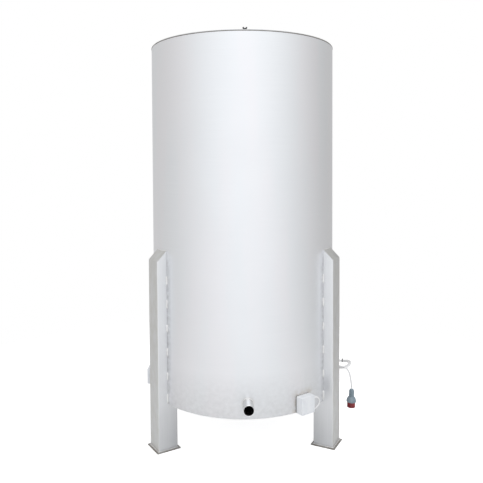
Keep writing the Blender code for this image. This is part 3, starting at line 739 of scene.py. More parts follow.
# %% Wall
WALL_SHEET = 0.0025
LID_SHEET, WALL_STEPS = 0.0035, 384
WALL_TOP = TANK_TOP - LID_SHEET - SEAT
RIM_INNER, RIM_HEIGHT = 0.590, 0.008
OUTLET_RADIUS, OUTLET_BORE = 0.03175, 0.02875
inner = TANK_RADIUS - WALL_SHEET
wall_outline = [
    (TANK_RADIUS, TANK_BOTTOM + 0.0006),
    (TANK_RADIUS, 0.5),
    (TANK_RADIUS, 2.3),
    (TANK_RADIUS, WALL_TOP - 0.0012),
    (TANK_RADIUS - 0.0012, WALL_TOP),
    (RIM_INNER, WALL_TOP),
    (RIM_INNER, WALL_TOP - RIM_HEIGHT),
    (inner, WALL_TOP - RIM_HEIGHT),
    (inner, TANK_BOTTOM),
    (TANK_RADIUS - 0.0006, TANK_BOTTOM),
]
wall = turned("tank_wall", wall_outline, wall_steel, WALL_STEPS, closed=True)


def cut_hole(piece, radius, low, high, matrix, steps=64):
    """Cuts a round hole with an exact boolean, whose result is kept as a plain mesh."""
    form = bmesh.new()
    bmesh.ops.create_cone(
        form, cap_ends=True, segments=steps, radius1=radius, radius2=radius, depth=high - low
    )
    form.transform(matrix @ Matrix.Translation((0.0, 0.0, (low + high) / 2)))
    cutter = new_piece("cutter", form)
    cutting = piece.modifiers.new("hole", "BOOLEAN")
    cutting.solver = "EXACT"
    cutting.object = cutter
    mesh = bpy.data.meshes.new_from_object(
        piece.evaluated_get(bpy.context.evaluated_depsgraph_get())
    )
    piece.modifiers.clear()
    piece.data = mesh
    bpy.data.objects.remove(cutter)


FRONTWARDS = Matrix.Translation((0.0, 0.0, OUTLET_HEIGHT)) @ Matrix.Rotation(math.pi / 2, 4, "X")
HOLE_FROM, HOLE_TO = 0.55, 0.65
cut_hole(wall, OUTLET_RADIUS + SEAT, HOLE_FROM, HOLE_TO, FRONTWARDS)


def unroll(mesh):
    """A UV map with metres round the tank in U and metres up it in V, seam at the back."""
    uv = mesh.uv_layers.new(name="UVMap")
    for face in mesh.polygons:
        middle = math.atan2(face.center.x, -face.center.y)
        for index in face.loop_indices:
            point = mesh.vertices[mesh.loops[index].vertex_index].co
            turn = math.atan2(point.x, -point.y) - middle
            turn = (turn + math.pi) % math.tau - math.pi
            uv.data[index].uv = ((middle + turn) * TANK_RADIUS, point.z)


plates = [f"wall_plate_{n:02d}" for n in range(1, 13)]
settle(wall, wall_steel, plates, sharp=30.0)
unroll(wall.data)
print("wall faces:", len(wall.data.polygons))

# %% [markdown]
# ## Seal under the lid
#
# From the front the lid shows only as a thin dark line. Part of that line is the seal
# between lid and rim: a flat rubber ring, turned from a small rounded outline. Its dark
# rubber also stands in for the shade in the gap under the lid, as painted shade.

# %% Seal
seal_outline = [
    (0.5930, WALL_TOP - 0.0052),
    (0.6006, WALL_TOP - 0.0052),
    (0.6012, WALL_TOP - 0.0044),
    (0.6012, WALL_TOP - 0.0006),
    (0.6006, WALL_TOP + 0.0002),
    (0.5930, WALL_TOP + 0.0002),
]
seal = turned("lid_seal", seal_outline, lid_rubber_and_shade, WALL_STEPS, closed=True)
settle(seal, lid_rubber_and_shade, sharp=50.0)
print("seal radius:", seal_outline[2][0])

# %% [markdown]
# ## Weld beads
#
# A hand-laid weld is a row of small overlapping scales. They could be modelled one by
# one, but it is lighter to sweep a circle along the joint and let its radius swell and
# shrink. In the tree the length along the line, divided by the pitch, goes through a
# Ping-Pong, whose zigzag makes the scales. Towards both ends of the line the radius
# fades to a small share of itself. A closed line needs no fade, so its taper is tiny.

# %% Weld tree
SCALE_DEPTH, NO_TAPER = 0.22, 0.0001
welding, given, result = new_tree(
    "weld bead",
    Radius="Float",
    Pitch="Float",
    Depth="Float",
    Taper="Float",
    Spacing="Float",
    Sides="Int",
)
fine = add_node(
    welding,
    "GeometryNodeResampleCurve",
    {"Curve": given["Geometry"], "Length": given["Spacing"]},
    mode="LENGTH",
).outputs[0]
along = add_node(welding, "GeometryNodeSplineParameter").outputs["Length"]
whole = add_node(welding, "GeometryNodeSplineLength").outputs["Length"]
scale = maths(welding, "PINGPONG", maths(welding, "DIVIDE", along, given["Pitch"]), 0.5)
swell = maths(welding, "MULTIPLY", maths(welding, "MULTIPLY", scale, 2.0), given["Depth"])
swell = maths(welding, "SUBTRACT", 1.0, swell)
to_end = maths(welding, "MINIMUM", along, maths(welding, "SUBTRACT", whole, along))
fade = maths(welding, "MINIMUM", maths(welding, "DIVIDE", to_end, given["Taper"]), 1.0)
fade = maths(welding, "MAXIMUM", maths(welding, "POWER", fade, 0.5), 0.15)
radius = maths(welding, "MULTIPLY", given["Radius"], maths(welding, "MULTIPLY", swell, fade))
ring = add_node(
    welding, "GeometryNodeCurvePrimitiveCircle", {"Resolution": given["Sides"], "Radius": 1.0}
).outputs[0]
bead = add_node(
    welding,
    "GeometryNodeCurveToMesh",
    {"Curve": fine, "Profile Curve": ring, "Scale": radius, "Fill Caps": True},
)
end_tree(welding, bead.outputs[0], given, result)


def weld(lines, radius, pitch, closed=False, taper=0.006, spacing=0.0011, sides=8):
    """One bead along each line of points."""
    return grow(
        "bead", welding, poly_lines(lines, closed), weld_steel,
        Radius=radius, Pitch=pitch, Depth=SCALE_DEPTH, Taper=taper, Spacing=spacing, Sides=sides,
    )


def joined(name, pieces):
    """Joins meshes into the first one, under a new name."""
    form = bmesh.new()
    for piece in pieces:
        form.from_mesh(piece.data)
        bpy.data.objects.remove(piece)
    return new_piece(name, form)


# %% [markdown]
# The legs are held to the wall by short stitches, 50 to 59 mm long and about 147 mm
# apart, on both sides of each leg. Their heights come from the ones that show on the
# left leg.

# %% Leg welds
STITCHES = (
    (1.034, 1.090),
    (0.888, 0.945),
    (0.740, 0.790),
    (0.591, 0.645),
    (0.442, 0.493),
    (0.300, 0.359),
)
STITCH_ASIDE, STITCH_OUT = 0.0026, 0.0022
stitches = []
for azimuth in LEGS.values():
    for side in (-1, 1):
        along_wall = side * (LEG_HALF + STITCH_ASIDE)
        reach = math.sqrt(TANK_RADIUS**2 - along_wall**2) + STITCH_OUT
        for low, high in STITCHES:
            stitches.append([on_wall(azimuth, reach, along_wall, h) for h in (low, high)])
leg_beads = weld(stitches, radius=0.0070, pitch=0.0055, taper=0.009, spacing=0.0018)
leg_beads.name = "leg_stitch_welds"
settle(leg_beads, weld_steel, sharp=60.0)
print("stitches:", len(stitches))

# %% [markdown]
# The sloped top of each leg is welded to the wall along its upper edge. At its foot each
# leg is welded to its plate all round, as a closed line.

# %% Cap and foot welds
FOOT_SHEET = 0.006
CAP_OUTER_HEIGHT = 1.180
bases, crests = [], []
outer, inside = LEG_REACH, LEG_REACH - LEG_SIDE
for azimuth in LEGS.values():
    square = [(outer, -LEG_HALF), (outer, LEG_HALF), (inside, LEG_HALF), (inside, -LEG_HALF)]
    base = [on_wall(azimuth, reach, along, FOOT_SHEET + SEAT) for reach, along in square]
    bases.append(base)
    crest = []
    for along in np.linspace(-LEG_HALF, LEG_HALF, 15):
        reach = math.sqrt(TANK_RADIUS**2 - along**2)
        crest.append(on_wall(azimuth, reach, along, CAP_OUTER_HEIGHT + LEG_REACH - reach))
    crests.append(crest)
base_beads = weld(bases, 0.0032, 0.0050, closed=True, taper=NO_TAPER, spacing=0.002)
crest_beads = weld(crests, 0.0026, 0.0040)
settle(joined("leg_end_welds", [base_beads, crest_beads]), weld_steel, sharp=60.0)
print("leg end beads:", len(bases) + len(crests))

# %% [markdown]
# The tank's floor meets the wall in one long bead all round the lower edge. The rolled
# sheet closes in one upright seam at the back. The outlet is welded in with a small
# ring, on a saddle line that follows the round wall.

# %% Tank welds
SEAM = 150.0
SADDLE_RADIUS = OUTLET_RADIUS + 0.0012
rim_line = [on_wall(a, TANK_RADIUS - 0.0015, 0.0, TANK_BOTTOM + 0.0008) for a in range(0, 360, 3)]
bottom_bead = weld([rim_line], 0.0022, 0.0060, closed=True, taper=NO_TAPER, spacing=0.0030, sides=6)
seam_ends = (TANK_BOTTOM + 0.004, WALL_TOP - RIM_HEIGHT)
seam_line = [on_wall(SEAM, TANK_RADIUS - 0.0012, 0.0, h) for h in seam_ends]
seam_bead = weld([seam_line], 0.0022, 0.0050, taper=0.004, spacing=0.0025, sides=6)
saddle = []
for turn in np.linspace(0.0, math.tau, 49)[:-1]:
    x = SADDLE_RADIUS * math.sin(turn)
    z = OUTLET_HEIGHT + SADDLE_RADIUS * math.cos(turn)
    saddle.append((x, -math.sqrt((TANK_RADIUS + 0.0008) ** 2 - x**2), z))
outlet_bead = weld([saddle], 0.0026, 0.0032, closed=True, taper=NO_TAPER, spacing=0.0010)
tank_beads = joined("tank_welds", [bottom_bead, seam_bead, outlet_bead])
settle(tank_beads, weld_steel, sharp=60.0)
print("saddle points:", len(saddle))

# %% [markdown]
# ## Outlet
#
# The outlet is a plain welded tube with its sharp edges broken. Its outline is closed,
# because the tube is open at both ends, and it is turned about Z and then laid forwards.

# %% Outlet
EDGE, OUTLET_START = 0.0011, 0.592
outlet_outline = [
    (OUTLET_BORE, OUTLET_START),
    (OUTLET_RADIUS, OUTLET_START),
    (OUTLET_RADIUS, OUTLET_END - EDGE),
    (OUTLET_RADIUS - EDGE, OUTLET_END),
    (OUTLET_BORE + EDGE, OUTLET_END),
    (OUTLET_BORE, OUTLET_END - EDGE),
]
outlet = turned("outlet_tube", outlet_outline, outlet_steel, 96, closed=True)
settle(outlet, outlet_steel, ("outlet_pipe",), matrix=FRONTWARDS)
print("outlet end:", round(min(v.co.y for v in outlet.data.vertices), 3))

# %% [markdown]
# ## Legs
#
# Each leg is folded from sheet with rounded corners and closed by a sloped plate, and it
# is cut round to fit the wall. The solid in the frame has flat corners that would catch
# no light, so a copy with round ones stands for leg and cap. A rounded square is pulled
# up to the slope, and the rim of its top gets a small bevel before the tank's own
# cylinder is cut away. An exact boolean makes that fit in one step.

# %% Legs
LEG_CORNER = 0.007


def leg_form():
    """A leg drawn at the front, from the foot plate to its sloped top."""
    middle = -(LEG_REACH - LEG_SIDE / 2)
    flat = LEG_SIDE / 2 - LEG_CORNER
    outline = []
    for number, (x, y) in enumerate(((flat, flat), (-flat, flat), (-flat, -flat), (flat, -flat))):
        for step in range(7):
            turn = math.radians(90.0 * number + 15.0 * step)
            outline.append((x + LEG_CORNER * math.cos(turn), middle + y + LEG_CORNER * math.sin(turn)))
    form = bmesh.new()
    low = [form.verts.new((x, y, FOOT_SHEET + SEAT)) for x, y in outline]
    high = [form.verts.new((x, y, CAP_OUTER_HEIGHT + LEG_REACH + y)) for x, y in outline]
    for i in range(len(outline)):
        j = (i + 1) % len(outline)
        form.faces.new((low[i], low[j], high[j], high[i]))
    form.faces.new(list(reversed(low)))
    top = form.faces.new(high)
    bmesh.ops.bevel(form, geom=list(top.edges), offset=0.0012, segments=2, profile=0.5, affect="EDGES")
    bmesh.ops.recalc_face_normals(form, faces=form.faces)
    return form


def mark_outer_side(mesh):
    """Stores 1 on the corners of faces that look away from the tank, before it is turned."""
    marks = mesh.attributes.new("outer_side", "FLOAT", "CORNER")
    for face in mesh.polygons:
        for index in face.loop_indices:
            marks.data[index].value = 1.0 if face.normal.y < -0.5 else 0.0


PAST_CAP = CAP_OUTER_HEIGHT + 0.2
upright = Matrix.Identity(4)
for name, azimuth in LEGS.items():
    leg = new_piece(f"{name}_leg", leg_form())
    cut_hole(leg, TANK_RADIUS + SEAT, TANK_BOTTOM - SEAT, PAST_CAP, upright, WALL_STEPS)
    mark_outer_side(leg.data)
    solids = (f"leg_{name}", f"leg_cap_{name}")
    settle(leg, leg_steel, solids, sharp=30.0, matrix=facing(azimuth))
print("leg top at the wall:", round(CAP_OUTER_HEIGHT + LEG_REACH - TANK_RADIUS, 3), "m")

# %% [markdown]
# ## Carried-over solids
#
# The lid with its knob, the foot plates, the tank's floor and the cable clips already
# have the right form, so they stay as they are and only get a finish.

# %% Finishes for carried-over solids
DRESSED = (
    (foot_steel, [f"foot_plate_{name}" for name in LEGS]),
    (lid_steel, ["lid_front", "lid_rear", "lid_seam_strip"]),
    (bottom_steel, ["tank_bottom"]),
    (black_plastic, ["lid_knob"]),
    (box_plastic, ["cable_clip_1", "cable_clip_2"]),
)
for finish, names in DRESSED:
    for name in names:
        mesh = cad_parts[name].data
        mesh.materials.clear()
        mesh.materials.append(finish)
print("dressed solids:", sum(len(names) for finish, names in DRESSED))

# %% [markdown]
# ## Screws
#
# Screws repeat, so a tree makes them. It models one head as a low cylinder with a cross
# cut by a boolean, and sets it on each vertex of the start mesh, turned to the vertex's
# own direction, which is stored on the start mesh as a vector attribute.

# %% Screw tree
SLOT_WIDTH, SLOT_LENGTH, SLOT_LIFT = 0.30, 1.30, 0.6
screwing, given, result = new_tree("screw heads", Radius="Float", Height="Float")
head = add_node(
    screwing,
    "GeometryNodeMeshCylinder",
    {"Vertices": 20, "Radius": given["Radius"], "Depth": given["Height"]},
).outputs[0]
width = maths(screwing, "MULTIPLY", given["Radius"], SLOT_WIDTH)
length = maths(screwing, "MULTIPLY", given["Radius"], SLOT_LENGTH)
slots = []
for long, wide in ((length, width), (width, length)):
    size = add_node(screwing, "ShaderNodeCombineXYZ", {0: long, 1: wide, 2: given["Height"]}).outputs[0]
    bar = add_node(screwing, "GeometryNodeMeshCube", {"Size": size}).outputs[0]
    raised = maths(screwing, "MULTIPLY", given["Height"], SLOT_LIFT)
    lift = add_node(screwing, "ShaderNodeCombineXYZ", {2: raised}).outputs[0]
    slots.append(
        add_node(screwing, "GeometryNodeTransform", {"Geometry": bar, "Translation": lift}).outputs[0]
    )
cross = add_node(
    screwing, "GeometryNodeMeshBoolean", {"Mesh 1": head}, operation="DIFFERENCE", solver="EXACT"
)
for bar in slots:
    screwing.links.new(bar, cross.inputs["Mesh 2"])
direction = add_node(
    screwing, "GeometryNodeInputNamedAttribute", {"Name": "direction"}, data_type="FLOAT_VECTOR"
).outputs[0]
turned_head = add_node(screwing, "FunctionNodeAlignRotationToVector", {"Vector": direction}, axis="Z")
heads = add_node(
    screwing,
    "GeometryNodeInstanceOnPoints",
    {"Points": given["Geometry"], "Instance": cross.outputs[0], "Rotation": turned_head.outputs[0]},
)
end_tree(screwing, heads.outputs[0], given, result)


def screws(name, places, finish, radius, height):
    """Screw heads at (point, direction) places."""
    mesh = bpy.data.meshes.new("screw places")
    mesh.from_pydata([point for point, way in places], [], [])
    attribute = mesh.attributes.new("direction", "FLOAT_VECTOR", "POINT")
    ways = np.array([way for point, way in places], dtype=np.float32)
    attribute.data.foreach_set("vector", ways.ravel())
    start = bpy.data.objects.new("screw places", mesh)
    bpy.context.scene.collection.objects.link(start)
    return grow(name, screwing, start, finish, Radius=radius, Height=height)


# %% [markdown]
# ## Junction boxes
#
# Each box is a moulded base on a dark rubber pad, and a cover with rounded corners, a groove
# between them and four screws in round wells. The pad's dark rubber also stands in for the
# shade in the gap between box and wall, as painted shade. A bevelled block is enough for
# both: the corner edges get a wide bevel first and the rest a narrow one.

# %% Box helper
BASE_DEPTH, COVER_DEPTH = 0.036, 0.0157
BOX_BACK = TANK_RADIUS + SEAT
BOX_SPLIT = BOX_BACK + BASE_DEPTH
BOX_FRONT = BOX_SPLIT + SEAT + COVER_DEPTH
BOX_CORNER, GROOVE = 0.005, 0.0012
PAD_SHEET, PAD_INSET, PAD_REAR = 0.0016, 0.0008, 0.5982
ENTRY_ASIDE, ENTRY_RADIUS = 0.022, 0.0115
SCREW_INSET, SCREW_RADIUS, SCREW_HEIGHT, SCREW_SINK = 0.0105, 0.0043, 0.0014, 0.0009
WELL_RADIUS, WELL_DEPTH = 0.0052, 0.0016


def rounded_block(name, low, high, corner, edge, front_only=False):
    """A block whose edges along Y have a wide bevel and whose other edges a narrow one."""
    form = bmesh.new()
    bmesh.ops.create_cube(form, size=1.0)
    size = Vector(high) - Vector(low)
    bmesh.ops.scale(form, vec=size, verts=form.verts)
    bmesh.ops.translate(form, vec=(Vector(high) + Vector(low)) / 2, verts=form.verts)
    deep = [e for e in form.edges if abs(e.verts[0].co.y - e.verts[1].co.y) > size.y / 2]
    bmesh.ops.bevel(form, geom=deep, offset=corner, segments=6, profile=0.5, affect="EDGES")
    front = min(v.co.y for v in form.verts)
    rims = []
    for e in form.edges:
        level = abs(e.verts[0].co.y - e.verts[1].co.y) < 1e-6
        if level and (not front_only or abs(e.verts[0].co.y - front) < 1e-6):
            rims.append(e)
    bmesh.ops.bevel(form, geom=rims, offset=edge, segments=4, profile=0.5, affect="EDGES")
    return new_piece(name, form)


def entry_ring(x, z, y, radius, matrix):
    """A stepped round blank in a box side, where another gland could go."""
    outline = [(0.0, 0.0), (radius, 0.0), (radius, 0.0008), (radius - 0.001, 0.0012)]
    outline += [(radius * 0.62, 0.0012), (radius * 0.58, 0.0006), (0.0, 0.0006)]
    ring = turned("ring", outline, box_plastic, 32)
    ring.data.transform(Matrix.Translation((x, y, z)) @ matrix)
    return ring


def junction_box(name, azimuth):
    """Pad, base, cover and screws of one box."""
    half = BOX_WIDTH / 2
    low = BOX_TOP - BOX_HEIGHT
    place = facing(azimuth)
    pad_front = -BOX_BACK - PAD_SHEET
    # The dark pad behind the box is partly painted shade in the gap between box and wall.
    pad = rounded_block(
        f"{name}_box_pad_and_shade",
        (-half + PAD_INSET, pad_front, low + PAD_INSET),
        (half - PAD_INSET, -PAD_REAR, BOX_TOP - PAD_INSET),
        BOX_CORNER,
        0.0004,
    )
    settle(pad, pad_rubber_and_shade, matrix=place)
    base = rounded_block(
        "base", (-half, -BOX_SPLIT + GROOVE, low), (half, pad_front, BOX_TOP), BOX_CORNER, 0.0008
    )
    lip = rounded_block(
        "lip",
        (-half + GROOVE, -BOX_SPLIT - GROOVE, low + GROOVE),
        (half - GROOVE, -BOX_SPLIT + 2 * GROOVE, BOX_TOP - GROOVE),
        0.004,
        0.0003,
    )
    middle = -(BOX_BACK + BOX_SPLIT) / 2
    downwards = Matrix.Rotation(math.pi, 4, "X")
    rings = [entry_ring(x, low, middle, ENTRY_RADIUS, downwards) for x in (-ENTRY_ASIDE, ENTRY_ASIDE)]
    base = joined(f"{name}_box_base", [base, lip, *rings])
    settle(base, box_plastic, (f"{name}_box_body",), matrix=place)
    cover = rounded_block(
        f"{name}_box_lid",
        (-half, -BOX_FRONT, low),
        (half, -BOX_SPLIT - 0.0006, BOX_TOP),
        BOX_CORNER,
        0.0022,
        front_only=True,
    )
    outwards = place.to_3x3() @ Vector((0.0, -1.0, 0.0))
    places = []
    for x in (-half + SCREW_INSET, half - SCREW_INSET):
        for z in (low + SCREW_INSET, BOX_TOP - SCREW_INSET):
            way = Matrix.Translation((x, 0.0, z)) @ Matrix.Rotation(math.pi / 2, 4, "X")
            cut_hole(cover, WELL_RADIUS, BOX_FRONT - WELL_DEPTH, BOX_FRONT + 0.01, way)
            spot = place @ Vector((x, -BOX_FRONT + SCREW_SINK, z))
            places.append((tuple(spot), tuple(outwards)))
    settle(cover, box_plastic, (f"{name}_box_cover",), matrix=place)
    heads = screws(f"{name}_box_screws", places, box_plastic, SCREW_RADIUS, SCREW_HEIGHT)
    settle(heads, box_plastic)


for name, azimuth in (("front", FRONT), ("left", LEFT), ("right", RIGHT)):
    junction_box(name, azimuth)
print("boxes made, front face at", round(BOX_FRONT, 4), "m from the axis")

# %% [markdown]
# ## Cable glands
#
# A gland is a hexagon that a spanner can hold, then a domed nut with fine grip ribs, and
# a nose that tapers to the cable. The hexagon is the turned outline with six steps, and
# the ribs are small bars set round a circle by a tree that also serves for the dial and
# the plug.

# %% Ribs round an axis
ribbing, given, result = new_tree(
    "bars round an axis", Count="Int", Radius="Float", Size="Vector", Lift="Float"
)
circle = add_node(
    ribbing, "GeometryNodeCurvePrimitiveCircle", {"Resolution": given["Count"], "Radius": given["Radius"]}
).outputs[0]
points = add_node(ribbing, "GeometryNodeCurveToPoints", {"Curve": circle}, mode="EVALUATED")
bar = add_node(ribbing, "GeometryNodeMeshCube", {"Size": given["Size"]}).outputs[0]
bars = add_node(
    ribbing,
    "GeometryNodeInstanceOnPoints",
    {"Points": points.outputs["Points"], "Instance": bar, "Rotation": points.outputs["Rotation"]},
).outputs[0]
offset = add_node(ribbing, "ShaderNodeCombineXYZ", {2: given["Lift"]}).outputs[0]
lifted = add_node(ribbing, "GeometryNodeTransform", {"Geometry": bars, "Translation": offset})
end_tree(ribbing, lifted.outputs[0], given, result)


def ribs(count, radius, size, lift, finish):
    """Bars round +Z: a size of across the circle, along the axis and round the circle."""
    return grow(
        "ribs", ribbing, poly_lines([[(0, 0, 0), (0, 0, 1)]]), finish,
        Count=count, Radius=radius, Size=size, Lift=lift,
    )


def gland(name, azimuth, side, height, radius, length, bore, replaces):
    """Hexagon, domed nut with ribs and nose, laid along the wall to one side."""
    hexagon = [(0.0, 0.0), (radius, 0.0), (radius, length * 0.24), (radius * 0.93, length * 0.28)]
    nut_low, nut_high = length * 0.30, length * 0.80
    dome = [
        (0.0, length * 0.27),
        (radius * 0.84, nut_low),
        (radius * 0.84, nut_high),
        (radius * 0.74, length * 0.90),
        (bore + 0.0012, length * 0.96),
        (bore + 0.0006, length),
        (0.0, length),
    ]
    pieces = [turned("hexagon", hexagon, box_plastic, 6), turned("dome", dome, box_plastic, 48)]
    if length > 0.02:
        grip = nut_high - nut_low
        size = (radius * 0.10, grip, radius * 0.10)
        pieces.append(ribs(18, radius * 0.84, size, (nut_low + nut_high) / 2, box_plastic))
    whole = joined(name, pieces)
    across = Matrix.Rotation(math.pi / 2 * side, 4, "Y")
    seat = Matrix.Translation((side * (BOX_WIDTH / 2 + SEAT), -GLAND_REACH, height))
    settle(whole, box_plastic, (replaces,), matrix=facing(azimuth) @ seat @ across)
    return whole


SMALL_GLAND_HEIGHT, SMALL_GLAND_RADIUS, SMALL_GLAND_LENGTH = 0.367, 0.0090, 0.014
RELIEF_RADIUS = 0.0120
small = (SMALL_GLAND_HEIGHT, SMALL_GLAND_RADIUS, SMALL_GLAND_LENGTH, LINK_DIAMETER / 2)
for name, azimuth, side in (("front", FRONT, 1), ("left", LEFT, 1), ("right", RIGHT, -1)):
    gland(f"{name}_link_gland", azimuth, side, *small, f"{name}_box_gland")
sizes = (RELIEF_HEIGHT, RELIEF_RADIUS, RELIEF_LENGTH, CORD_DIAMETER / 2)
relief = gland("cord_strain_relief", RIGHT, 1, *sizes, "supply_gland")
print("glands made")

# %% [markdown]
# ## Thermostat dial
#
# The left box carries a round dial with a raised bar to turn it by, a pointer line on the
# bar, and a ring of plain ticks. The ticks are the same bars round an axis.

# %% Dial
DIAL_RADIUS, DIAL_HEIGHT = 0.0300, 0.3585
dial_outline = [
    (0.0, 0.0),
    (DIAL_RADIUS, 0.0),
    (DIAL_RADIUS, 0.0026),
    (DIAL_RADIUS - 0.0008, 0.0034),
    (DIAL_RADIUS - 0.0035, 0.0036),
    (0.0, 0.0036),
]
disc = turned("disc", dial_outline, dial_plastic, 96)
grip = rounded_block("grip", (-0.0052, -0.0050, -0.0255), (0.0052, 0.0, 0.0255), 0.0024, 0.0012)
grip.data.transform(Matrix.Translation((0, 0, 0.0010)) @ Matrix.Rotation(-math.pi / 2, 4, "X"))
grip_ribs = ribs(48, DIAL_RADIUS - 0.0003, (0.0008, 0.0022, 0.0012), 0.0014, dial_plastic)
dial = joined("dial", [disc, grip, grip_ribs])
dial_place = (
    facing(LEFT)
    @ Matrix.Translation((0.0, -BOX_FRONT - SEAT, DIAL_HEIGHT))
    @ Matrix.Rotation(math.pi / 2, 4, "X")
)
settle(dial, dial_plastic, ("thermostat_dial",), matrix=dial_place)
ticks = ribs(24, DIAL_RADIUS - 0.0062, (0.0036, 0.0005, 0.0007), 0.0037, black_plastic)
pointer = rounded_block("pointer", (-0.0007, -0.0063, 0.0130), (0.0007, -0.0055, 0.0240), 0.0003, 0.0001)
pointer.data.transform(Matrix.Rotation(-math.pi / 2, 4, "X"))
settle(joined("dial_marks", [ticks, pointer]), black_plastic, matrix=dial_place)
print("dial height over the cover:", round(max(-v.co.x for v in dial.data.vertices) - BOX_FRONT, 4))

# %% [markdown]
# ## Plug
#
# The plug has a ribbed clamping nut, a bell-shaped body with grip ribs, and a red collar
# with one key, round five pins. Each is a turned outline. All hang from the cord's end
# and lean a little, as they do on a cord that is not quite straight.

# %% Plug
LEAN = math.radians(2.0)
NUT_LENGTH, NUT_RADIUS = 0.049, 0.0175
BODY_LENGTH, BODY_RADIUS = 0.039, 0.0320
COLLAR_LENGTH, COLLAR_RADIUS, COLLAR_WALL, COLLAR_FLOOR = 0.035, 0.0272, 0.0030, 0.0120
KEY_TURN = math.radians(-69.0)
hang = Matrix.Translation((PLUG_TOP[0], PLUG_TOP[1], PLUG_TOP[2] - SEAT))
hang = hang @ Matrix.Rotation(LEAN, 4, "Y")
nut_outline = [
    (0.0, 0.0),
    (CORD_DIAMETER / 2 + 0.0010, 0.0),
    (CORD_DIAMETER / 2 + 0.0030, -0.0010),
    (NUT_RADIUS * 0.72, -0.0030),
    (NUT_RADIUS * 0.93, -0.0110),
    (NUT_RADIUS * 0.93, -NUT_LENGTH + 0.002),
    (NUT_RADIUS, -NUT_LENGTH + 0.001),
    (NUT_RADIUS, -NUT_LENGTH),
    (0.0, -NUT_LENGTH),
]
nut = turned("nut", nut_outline, plug_grey, 64)
nut_ribs = ribs(20, NUT_RADIUS * 0.93, (0.0016, 0.034, 0.0018), -0.0300, plug_grey)
settle(joined("plug_clamp_nut", [nut, nut_ribs]), plug_grey, ("plug_nut",), matrix=hang)

body_top = -NUT_LENGTH - SEAT
body_low = body_top - BODY_LENGTH
body_outline = [(0.0, body_top), (NUT_RADIUS, body_top), (NUT_RADIUS * 1.10, body_top - 0.002)]
for share in np.linspace(0.0, 1.0, 9):
    swell = NUT_RADIUS * 1.14 + (BODY_RADIUS * 0.95 - NUT_RADIUS * 1.14) * math.sin(share * math.pi / 2)
    body_outline.append((swell, body_top - 0.004 - 0.019 * share))
body_outline += [
    (BODY_RADIUS * 0.95, body_low + 0.0130),
    (BODY_RADIUS, body_low + 0.0118),
    (BODY_RADIUS, body_low + 0.0012),
    (BODY_RADIUS - 0.0012, body_low),
    (0.0, body_low),
]
body = turned("body", body_outline, plug_grey, 96)
body_ribs = ribs(30, BODY_RADIUS - 0.0006, (0.0016, 0.0085, 0.0026), body_low + 0.0066, plug_grey)
settle(joined("plug_bell", [body, body_ribs]), plug_grey, ("plug_body",), matrix=hang)
print("plug body from", round(body_top, 4), "to", round(body_low, 4))

# %% Collar and pins
collar_top = body_low - SEAT
collar_low = collar_top - COLLAR_LENGTH
collar_bore = COLLAR_RADIUS - COLLAR_WALL
collar_outline = [
    (0.0, collar_top),
    (COLLAR_RADIUS, collar_top),
    (COLLAR_RADIUS, collar_low + 0.0045),
    (COLLAR_RADIUS - 0.0004, collar_low + 0.0040),
    (COLLAR_RADIUS - 0.0004, collar_low + 0.0008),
    (COLLAR_RADIUS - 0.0012, collar_low),
    (collar_bore + 0.0005, collar_low),
    (collar_bore, collar_low + 0.0008),
    (collar_bore, collar_top - COLLAR_FLOOR),
    (0.0, collar_top - COLLAR_FLOOR),
]
collar = turned("collar", collar_outline, plug_red, 96)
key_low = (COLLAR_RADIUS - 0.0012, -0.0030, collar_top - 0.0315)
key_high = (COLLAR_RADIUS + 0.0014, 0.0030, collar_top - 0.0015)
key = rounded_block("key", key_low, key_high, 0.0008, 0.0004)
key.data.transform(Matrix.Rotation(KEY_TURN, 4, "Z"))
settle(joined("plug_shroud", [collar, key]), plug_red, ("plug_collar",), matrix=hang)

pin_outline = [(0.0, 0.0), (0.0026, 0.0), (0.0026, -0.0190), (0.0018, -0.0206), (0.0, -0.0210)]
PIN_COUNT, PIN_CIRCLE = 5, 0.0135
pins = []
for number in range(PIN_COUNT):
    pin = turned("pin", pin_outline, tube_steel, 20)
    turn = math.tau * number / PIN_COUNT
    spot = (PIN_CIRCLE * math.sin(turn), PIN_CIRCLE * math.cos(turn), collar_top - COLLAR_FLOOR + 0.0002)
    pin.data.transform(Matrix.Translation(spot))
    pins.append(pin)
settle(joined("plug_pins", pins), tube_steel, matrix=hang)
print("pins:", len(pins), "end at", round(collar_top - COLLAR_FLOOR - 0.021, 4))

# %% [markdown]
# ## Cable tie
#
# A black tie holds the two turns together at the back of the coil. It is a flat strap
# round both strands, with its locking head on top and the cut tail standing up from the
# head. A rounded outline and the same outline a strap's thickness larger are joined into
# a band. The two strands' own points on the spiral give the tie its place, its turn and
# its width.

# %% Cable tie
TIE_ANGLE = 70
STRAP_WIDTH, STRAP_SHEET, STRAP_STEPS = 0.005, 0.0013, 32


def strap(across, above, width, sheet):
    """A closed band round an oblong: X across, Z up, its width along Y."""
    form = bmesh.new()
    loops = []
    for grow_by, y in ((0.0, -width / 2), (0.0, width / 2), (sheet, width / 2), (sheet, -width / 2)):
        loop = []
        for step in range(STRAP_STEPS):
            turn = math.tau * (step + 0.5) / STRAP_STEPS
            flat = max(across - above, 0.0) * (1.0 if math.cos(turn) > 0.0 else -1.0)
            x = flat + (above + grow_by) * math.cos(turn)
            loop.append(form.verts.new((x, y, (above + grow_by) * math.sin(turn))))
        loops.append(loop)
    for first, second in zip(loops, loops[1:] + loops[:1]):
        for i in range(STRAP_STEPS):
            j = (i + 1) % STRAP_STEPS
            form.faces.new((first[i], first[j], second[j], second[i]))
    return form


